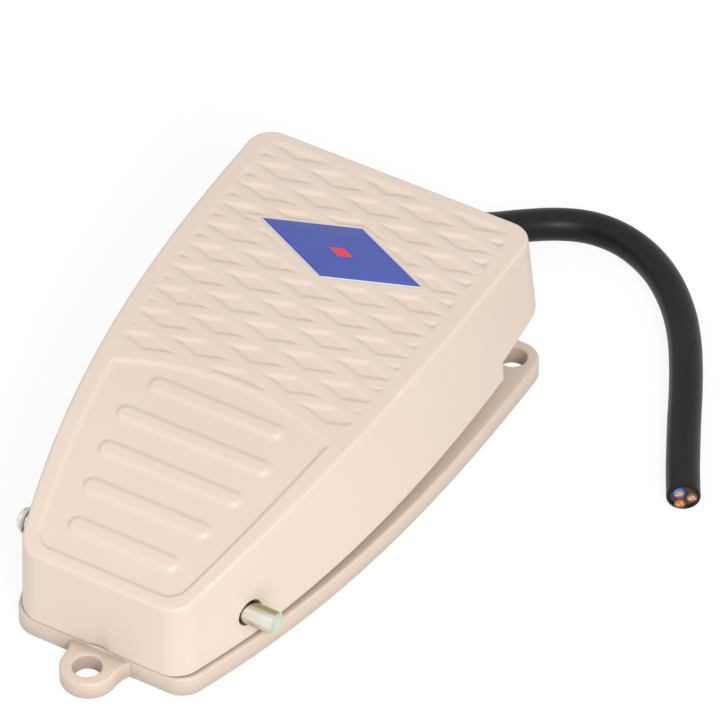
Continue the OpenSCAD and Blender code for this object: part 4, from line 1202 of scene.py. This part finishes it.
class FOOT_SWITCH_OT_base(bpy.types.Operator):
    """Builds the cast base with its ear, holes, walls, lugs and posts"""

    bl_idname = "foot_switch.base"
    bl_label = "Base"

    def execute(self, context):
        settings = context.scene.foot_switch
        form, base, pivot, cable = settings.pedal, settings.base, settings.pivot, settings.cable
        outline = closed_loop(right_side(form, (base.heel_width, base.toe_width), (0, base.length),
                                         (base.heel_corner, base.toe_corner), 14, 60))
        body = slab("base", outline, 0, base.plate, 0.0003, base.edge)
        join(body, slab("ear", self.ear(base), 0, base.ear, 0.0003, base.edge))
        low, high = [(form.heel_width + heel, form.toe_width + toe) for heel, toe in WALLS_WIDER]
        join(body, self.wall(form, base, low, 0, base.floor / 2, base.low_wall))
        join(body, self.wall(form, base, high, 0, base.floor / 2, base.high_wall))
        cut(body, self.wall(form, base, high, base.wall, base.floor, 2 * base.high_wall))
        self.pivot_lugs(body, form, base, pivot)
        self.posts(body, base)
        self.holes(body, base, pivot, cable)
        finished(body, shaded_base_enamel(settings.finish), "base", "cream_paint", "base_casting", "base_ear",
                 sharp=38)
        return {"FINISHED"}

    def ear(self, base):
        """Round ear whose sides sweep out into the plate's edge."""
        turn = np.linspace(-math.pi, 0, 33)
        tip = np.column_stack([base.ear_radius * np.cos(turn), base.ear_radius * np.sin(turn) - base.ear_out,
                               turn])
        bend = np.linspace(0, math.pi / 2, 9)[1:]
        rise_y = base.ear_out + 0.0006
        x = base.ear_radius + base.ear_flare * (1 - np.cos(bend))
        y = -base.ear_out + rise_y * np.sin(bend)
        lean = -np.arctan2(base.ear_flare * np.sin(bend), rise_y * np.cos(bend) + 1e-9)
        right = np.column_stack([x, y, lean])
        back = np.array([[x[-1], 0.002, math.pi / 2], [-x[-1], 0.002, math.pi / 2]])
        left = (right * (-1, 1, -1) + (0, 0, math.pi))[::-1]
        return np.vstack([tip, right, back, left])

    def wall(self, form, base, widths, inset, low, high):
        """The area of the upright walls, without its two rear corners."""
        widths = (widths[0] - 2 * inset, widths[1] - 2 * inset)
        half = right_side(form, widths, (base.wall_start + inset, base.wall_end - inset), (0.004, 0.003))
        area = slab("wall", closed_loop(half), low, high, 0.0, 0.0 if inset else 0.0005)
        for side in SIDES:
            near, far = sorted((side * (base.notch_x - inset), side * form.toe_width))
            cut(area, block("notch", (near, base.notch_y - inset, low - MM),
                            (far, 2 * base.length, high + MM)))
        return area

    def pivot_lugs(self, body, form, base, pivot):
        """Slots beside the lugs for the pedal's bosses, and the two lugs."""
        for side in SIDES:
            near, far = sorted((side * pivot.lug_out, side * form.toe_width))
            slot_y = pivot.boss + MM
            cut(body, block("slot", (near, pivot.y - slot_y, base.plate), (far, pivot.y + slot_y, 0.05)))
            near, far = sorted((side * pivot.lug_in, side * pivot.lug_out))
            join(body, block("lug", (near, pivot.y - pivot.lug, base.floor / 2),
                             (far, pivot.y + pivot.lug, pivot.z)),
                 rod("lug", pivot.lug, near, far, (0, pivot.y, pivot.z), "x"))

    def posts(self, body, base):
        """Spring seats, cable saddle, buffer posts and bracket bosses on the floor."""
        foot, soft = base.floor / 2, 0.0003
        seat, seat_top = 0.005, 0.007
        post, post_x = 0.0035, 0.0105
        buffer_post, buffer_x = 0.0045, 0.024
        boss, boss_x, screw_head = 0.0045, 0.015, 0.0038
        spring_x, spring_y = pair_at("return_springs")
        buffer_y = pair_at("stop_buffers")[1]
        buffer_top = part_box("stop_buffers")[0][2] + BUFFER_STEM - CLEARANCE
        saddle_low, saddle_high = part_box("cable_saddle")
        saddle_y = (saddle_low[1] + saddle_high[1]) / 2
        top = saddle_low[2] - CLEARANCE
        join(body, block("bridge", (-post_x, saddle_low[1], foot), (post_x, saddle_high[1], top)))
        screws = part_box("bracket_screws")
        for side, y in zip(SIDES, (screws[0][1] + screw_head, screws[1][1] - screw_head)):
            join(body, rod("seat", seat, foot, seat_top, (side * spring_x, spring_y, 0), soft=0.0004),
                 rod("post", post, foot, top, (side * post_x, saddle_y, 0), soft=soft),
                 rod("post", buffer_post, foot, buffer_top, (side * buffer_x, buffer_y, 0), soft=soft),
                 rod("boss", boss, foot, boss, (boss_x, y, 0), soft=soft))

    def holes(self, body, base, pivot, cable):
        """Screw holes with soft rims, bores for the pin, its screws and the grommet, the cable's groove."""
        rim, grub_bore = base.hole_rim, 0.00205
        groove = (0.123, 0.139)
        for x, y, top in ((0, -base.heel_hole, base.ear), (base.rear_hole_x, base.rear_hole_y, base.plate),
                          (-base.rear_hole_x, base.rear_hole_y, base.plate)):
            bend = np.linspace(0, math.pi / 2, 6)
            profile = [(-MM, base.hole), (top - rim, base.hole)]
            profile += [(top - rim + rim * math.sin(b), base.hole + rim * (1 - math.cos(b)))
                        for b in bend[1:]]
            profile += [(2 * base.high_wall, base.hole + rim)]
            cut(body, lathe("hole", profile, (x, y, 0), steps=72))
        reach = pivot.lug_out + MM
        cut(body, rod("bore", pivot.radius + CLEARANCE, -reach, reach, (0, pivot.y, pivot.z), "x"))
        for side in SIDES:
            x = side * (pivot.lug_in + pivot.lug_out) / 2
            cut(body, rod("bore", grub_bore, pivot.z, pivot.z + 2 * pivot.lug, (x, pivot.y, 0)))
        cut(body, rod("bore", cable.neck, base.wall_end - base.wall - MM, base.wall_end + MM,
                      (0, 0, cable.z), "y"),
            rod("bore", cable.diameter / 2 + CLEARANCE, *groove, (0, 0, cable.z), "y"))


class FOOT_SWITCH_OT_pivot(bpy.types.Operator):
    """Turns the cross pin and bends its retaining ring"""

    bl_idname = "foot_switch.pivot"
    bl_label = "Pivot"

    def execute(self, context):
        settings = context.scene.foot_switch
        pivot, finish = settings.pivot, settings.finish
        r, c = pivot.radius, pivot.chamfer
        start, end = -pivot.left, pivot.right
        groove = start + pivot.groove_in
        profile = [
            (start, r - c - 0.00005), (start + 0.00003, r - c), (start + c * 0.9, r - 0.00012),
            (start + c, r - 0.00002), (groove, r), (groove, r - pivot.groove_depth),
            (groove + pivot.groove, r - pivot.groove_depth), (groove + pivot.groove, r),
            (end - c, r), (end - c * 0.9, r - 0.0001), (end - 0.0001, r - c), (end, r - c - 0.0002)]
        pin = lathe("cross_pin", profile, (0, pivot.y, pivot.z), "x", 72)
        finished(pin, self.plating(finish), "base", "zinc_steel", "pivot_pin", sharp=25)
        self.ring(pivot, finish, groove)
        dark = metal("dark steel", finish.dark_steel, 0.6, roughness=0.4)
        carried_over("pin_grub_screws", dark, 0.0001)
        return {"FINISHED"}

    def plating(self, finish):
        """Plating with painted reflections, by which way the surface faces: white in front, olive behind and
        pale at its end.
        """
        made = surface("plating with painted reflections", finish.zinc, finish.zinc_tint, scale=160.0, amount=0.5,
                       grain=900.0, depth=0.000008, roughness=0.2, spread=0.12, metallic=1.0)
        tree = made.node_tree
        shader = tree.nodes["Principled BSDF"]
        ground = shader.inputs["Base Color"].links[0].from_socket
        facing = tree.nodes.new("ShaderNodeSeparateXYZ")
        tree.links.new(tree.nodes.new("ShaderNodeNewGeometry").outputs["True Normal"], facing.inputs[0])
        band = tree.nodes.new("ShaderNodeValToRGB")
        # Place from the pin's lower front, 0, to its upper back, 1, and the painted reflection colour there
        reflection_stops = ((0.0, (0.78, 0.66, 0.58, 1)), (0.16, (0.92, 0.84, 0.8, 1)), (0.27, (1, 1, 1, 1)),
                 (0.58, (1, 1, 1, 1)), (0.68, (0.8, 0.79, 0.84, 1)), (0.78, (0.74, 0.75, 0.66, 1)),
                 (0.86, (0.44, 0.46, 0.27, 1)), (1.0, (0.5, 0.52, 0.34, 1)))
        for place, tint in reflection_stops[1:-1]:
            band.color_ramp.elements.new(place).color = tint
        band.color_ramp.elements[0].color = reflection_stops[0][1]
        band.color_ramp.elements[-1].color = reflection_stops[-1][1]
        back = maths(tree, "MULTIPLY", facing.outputs["Y"], 0.37)
        above = maths(tree, "MULTIPLY", facing.outputs["Z"], 0.335)
        tree.links.new(maths(tree, "ADD", maths(tree, "ADD", back, above), 0.5), band.inputs[0])
        # The pin's ends get a pale painted reflection.
        end = maths(tree, "GREATER_THAN", maths(tree, "ABSOLUTE", facing.outputs["X"]), 0.6)
        cast = mixed(tree, end, band.outputs[0], (0.8, 0.88, 0.84, 1))
        # The painted reflection colours multiply the plating's own colour.
        tint = tree.nodes.new("ShaderNodeMix")
        tint.data_type = "RGBA"
        tint.blend_type = "MULTIPLY"
        tint.inputs[0].default_value = 1.0
        tree.links.new(ground, tint.inputs[6])
        tree.links.new(cast, tint.inputs[7])
        tree.links.new(tint.outputs[2], shader.inputs["Base Color"])
        return made

    def ring(self, pivot, finish, groove):
        """Snap ring with an open side, in the groove at the left."""
        inner, outer = pivot.radius - pivot.groove_depth + 0.00005, 0.0037
        x0, x1 = groove + 0.00005, groove + pivot.groove - 0.00005
        open_half = math.radians(28)
        shell = Shell()
        rings = []
        for a in np.linspace(open_half, FULL_TURN - open_half, 49):
            c, s = math.cos(a), math.sin(a)
            soft = 0.0001
            corners = [(x0, inner), (x0, outer - soft), (x0 + soft, outer), (x1 - soft, outer),
                       (x1, outer - soft), (x1, inner)]
            rings.append([(x, pivot.y + rr * c, pivot.z + rr * s) for x, rr in corners])
        ring = shell.loft(rings).piece("snap_ring")
        finished(ring, steel(finish), "base", "spring_steel", "pin_ring")


class FOOT_SWITCH_OT_springs(bpy.types.Operator):
    """Winds the two return springs and the contact spring"""

    bl_idname = "foot_switch.springs"
    bl_label = "Springs"

    def execute(self, context):
        finish = context.scene.foot_switch.finish
        low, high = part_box("return_springs")
        wire = 1.5 * MM
        radius = (high[1] - low[1] - wire) / 2
        x, y = pair_at("return_springs")
        shell = Shell()
        for side in SIDES:
            self.coil(shell, (side * x, y), radius, wire, 9, low[2], high[2])
        springs = finished(shell.piece("return_spring_pair"), steel(finish), "base", "spring_steel",
                           "return_springs")
        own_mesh(springs)

        low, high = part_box("contact_spring")
        wire = 0.6 * MM
        radius = (high[1] - low[1] - wire) / 2
        shell = Shell()
        self.coil(shell, (0, (low[1] + high[1]) / 2), radius, wire, 4, low[2], high[2])
        spring = finished(shell.piece("blade_spring"), steel(finish), "base", "spring_steel",
                          "contact_spring")
        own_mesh(spring)
        return {"FINISHED"}

    def coil(self, shell, middle, radius, wire, turns, low, high):
        """One helix that climbs more slowly in its first and last turn."""
        steps, slow = 40, 0.55
        t = np.arange(turns * steps + 1) / steps
        climb = np.where(t < 1, slow * t, np.where(
            t > turns - 1, turns - 2 + 2 * slow - slow * (turns - t), slow + t - 1))
        z = low + wire / 2 + (high - low - wire) * climb / climb[-1]
        a = FULL_TURN * t
        line = np.column_stack([middle[0] + radius * np.cos(a), middle[1] + radius * np.sin(a), z])
        shell.loft(tube_rings(line, wire / 2, 12))


class FOOT_SWITCH_OT_rubber(bpy.types.Operator):
    """Moulds the cable grommet with its ribbed bend relief, and the stop buffers"""

    bl_idname = "foot_switch.rubber"
    bl_label = "Rubber pieces"

    def execute(self, context):
        settings = context.scene.foot_switch
        base, cable, finish = settings.base, settings.cable, settings.finish
        bore = cable.diameter / 2 + CLEARANCE
        flange, soft = 0.002, 0.0004
        outer = base.wall_end + CLEARANCE
        wall_in = base.wall_end - base.wall - CLEARANCE
        inner, neck = wall_in - flange, cable.neck - CLEARANCE
        rings = [(inner, bore), (inner, cable.flange - soft), (inner + soft, cable.flange),
                 (wall_in - soft, cable.flange), (wall_in, cable.flange - soft), (wall_in, neck),
                 (outer, neck), (outer, cable.relief_start)]
        rings += self.ribs(cable, outer + flange)
        rings += [(cable.exit_y, bore)]
        grommet = Shell().torus(turned(rings, (0, 0, cable.z), "y", 64)).piece("grommet")
        finished(grommet, rubber(finish), "base", "black_rubber", "cable_grommet", sharp=40)
        self.buffers(finish)
        tail = carried_over("cord_tail", sheath(finish))
        tail.data.polygons.foreach_set("use_smooth", [True] * len(tail.data.polygons))
        return {"FINISHED"}

    def ribs(self, cable, start):
        """Rounded ribs with grooves between them, down the taper of the relief."""
        made = []
        ribs = 5
        pitch = (cable.exit_y - start) / ribs
        for i in range(ribs):
            y = start + i * pitch
            share = i / ribs
            r = cable.relief_start + (cable.relief_end - cable.relief_start) * share
            dip = 0.00055
            made += [(y, r), (y + 0.06 * pitch, r - dip * 0.5), (y + 0.16 * pitch, r - dip),
                     (y + 0.34 * pitch, r - dip), (y + 0.44 * pitch, r - dip * 0.5),
                     (y + 0.5 * pitch, r - 0.0001), (y + 0.62 * pitch, r - 0.00006)]
        end = cable.relief_end
        return made + [(cable.exit_y - 0.0005, end), (cable.exit_y - 0.00012, end - 0.00015),
                       (cable.exit_y, end - 0.0004)]

    def buffers(self, finish):
        """Two rubber buffers with stems in their posts."""
        low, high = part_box("stop_buffers")
        x, y = pair_at("stop_buffers")
        stem, radius = 0.002, (high[1] - low[1]) / 2
        seat = low[2] + BUFFER_STEM
        shell = Shell()
        for side in SIDES:
            shell.loft(turned([
                (low[2], stem - 0.0003), (low[2] + 0.0003, stem), (seat, stem), (seat, radius - 0.0002),
                (seat + 0.0002, radius), (high[2] - 0.0012, radius), (high[2] - 0.0005, radius - 0.0003),
                (high[2] - 0.0001, radius - 0.0008), (high[2], radius - 0.0014)],
                (side * x, y, 0), steps=48))
        finished(shell.piece("rubber_buffers"), rubber(finish), "base", "black_rubber", "stop_buffers")


class FOOT_SWITCH_OT_wires(bpy.types.Operator):
    """Runs the three insulated wires from the cable to the terminals"""

    bl_idname = "foot_switch.wires"
    bl_label = "Wires"

    def execute(self, context):
        settings = context.scene.foot_switch
        finish = settings.finish
        looks = {"wire_blue": ("blue_insulation", moulded("blue wire", finish.core_blue)),
                 "wire_brown": ("brown_insulation", moulded("brown wire", finish.cover)),
                 "wire_black": ("black_insulation", moulded("black wire", finish.sheath))}
        for node, (slot, look) in looks.items():
            line = smooth_line(WIRE_ROUTES[node], 0.001)
            rings = tube_rings(line, settings.cable.wire / 2, 20)
            wire = Shell().loft(rings).piece(node.replace("wire_", "lead_"))
            finished(wire, look, "base", slot, node)
        return {"FINISHED"}


class FOOT_SWITCH_OT_switch(bpy.types.Operator):
    """Finishes the snap switch, its contacts, its bracket and every screw and nut"""

    bl_idname = "foot_switch.switch"
    bl_label = "Switch and fasteners"

    def execute(self, context):
        finish = context.scene.foot_switch.finish
        brass = metal("brass strip", finish.brass, 0.7, 200.0, 1200.0, 0.3, 0.2)
        looks = [
            (moulded("dark resin", finish.resin), 0.0003, ("switch_body",)),
            (moulded("brown resin", finish.cover), 0.0003, ("switch_cover",)),
            (moulded("red resin", finish.plunger, 0.25), 0.0, ("plunger",)),
            (brass, 0.0001, ("contact_blade", "common_terminal", "closed_terminal", "open_terminal")),
            (zinc(finish), 0.0002, ("actuator_nut", "switch_bracket", "switch_nuts")),
            (zinc(finish), 0.0, ("actuator_screw", "bracket_screws", "switch_screws", "terminal_screws",
                                 "cable_saddle", "saddle_screws"))]
        for look, soft, nodes in looks:
            for node in nodes:
                carried_over(node, look, soft)
        return {"FINISHED"}


class FOOT_SWITCH_PT_panel(bpy.types.Panel):
    """Foot switch pieces and sizes"""

    bl_idname = "FOOT_SWITCH_PT_panel"
    bl_label = "Foot Switch"
    bl_space_type = "VIEW_3D"
    bl_region_type = "UI"
    bl_category = "Foot Switch"

    def draw(self, context):
        layout = self.layout
        for operator in OPERATORS:
            layout.operator(operator.bl_idname)
        settings = context.scene.foot_switch
        for name in ("pedal", "tread", "base", "pivot", "cable", "finish", "studio"):
            box = layout.box()
            box.label(text=name.capitalize())
            group = getattr(settings, name)
            for key in group.__annotations__:
                box.prop(group, key)


GROUPS = (PedalSizes, TreadSizes, BaseSizes, PivotSizes, CableSizes, FinishColours, StudioLook,
          FootSwitchSettings)
OPERATORS = (FOOT_SWITCH_OT_studio, FOOT_SWITCH_OT_cable, FOOT_SWITCH_OT_pedal,
             FOOT_SWITCH_OT_name_plate, FOOT_SWITCH_OT_base, FOOT_SWITCH_OT_pivot,
             FOOT_SWITCH_OT_springs, FOOT_SWITCH_OT_rubber, FOOT_SWITCH_OT_wires,
             FOOT_SWITCH_OT_switch)


def register():
    for kind in (*GROUPS, *OPERATORS, FOOT_SWITCH_PT_panel):
        bpy.utils.register_class(kind)
    bpy.types.Scene.foot_switch = bpy.props.PointerProperty(
        type=FootSwitchSettings, name="Foot switch", description="Sizes and colours of the foot switch")


def unregister():
    del bpy.types.Scene.foot_switch
    for kind in reversed((*GROUPS, *OPERATORS, FOOT_SWITCH_PT_panel)):
        bpy.utils.unregister_class(kind)


def main():
    """Builds everything in order."""
    register()
    for operator in OPERATORS:
        getattr(bpy.ops.foot_switch, operator.bl_idname.split(".")[1])()


if __name__ == "__main__":
    main()
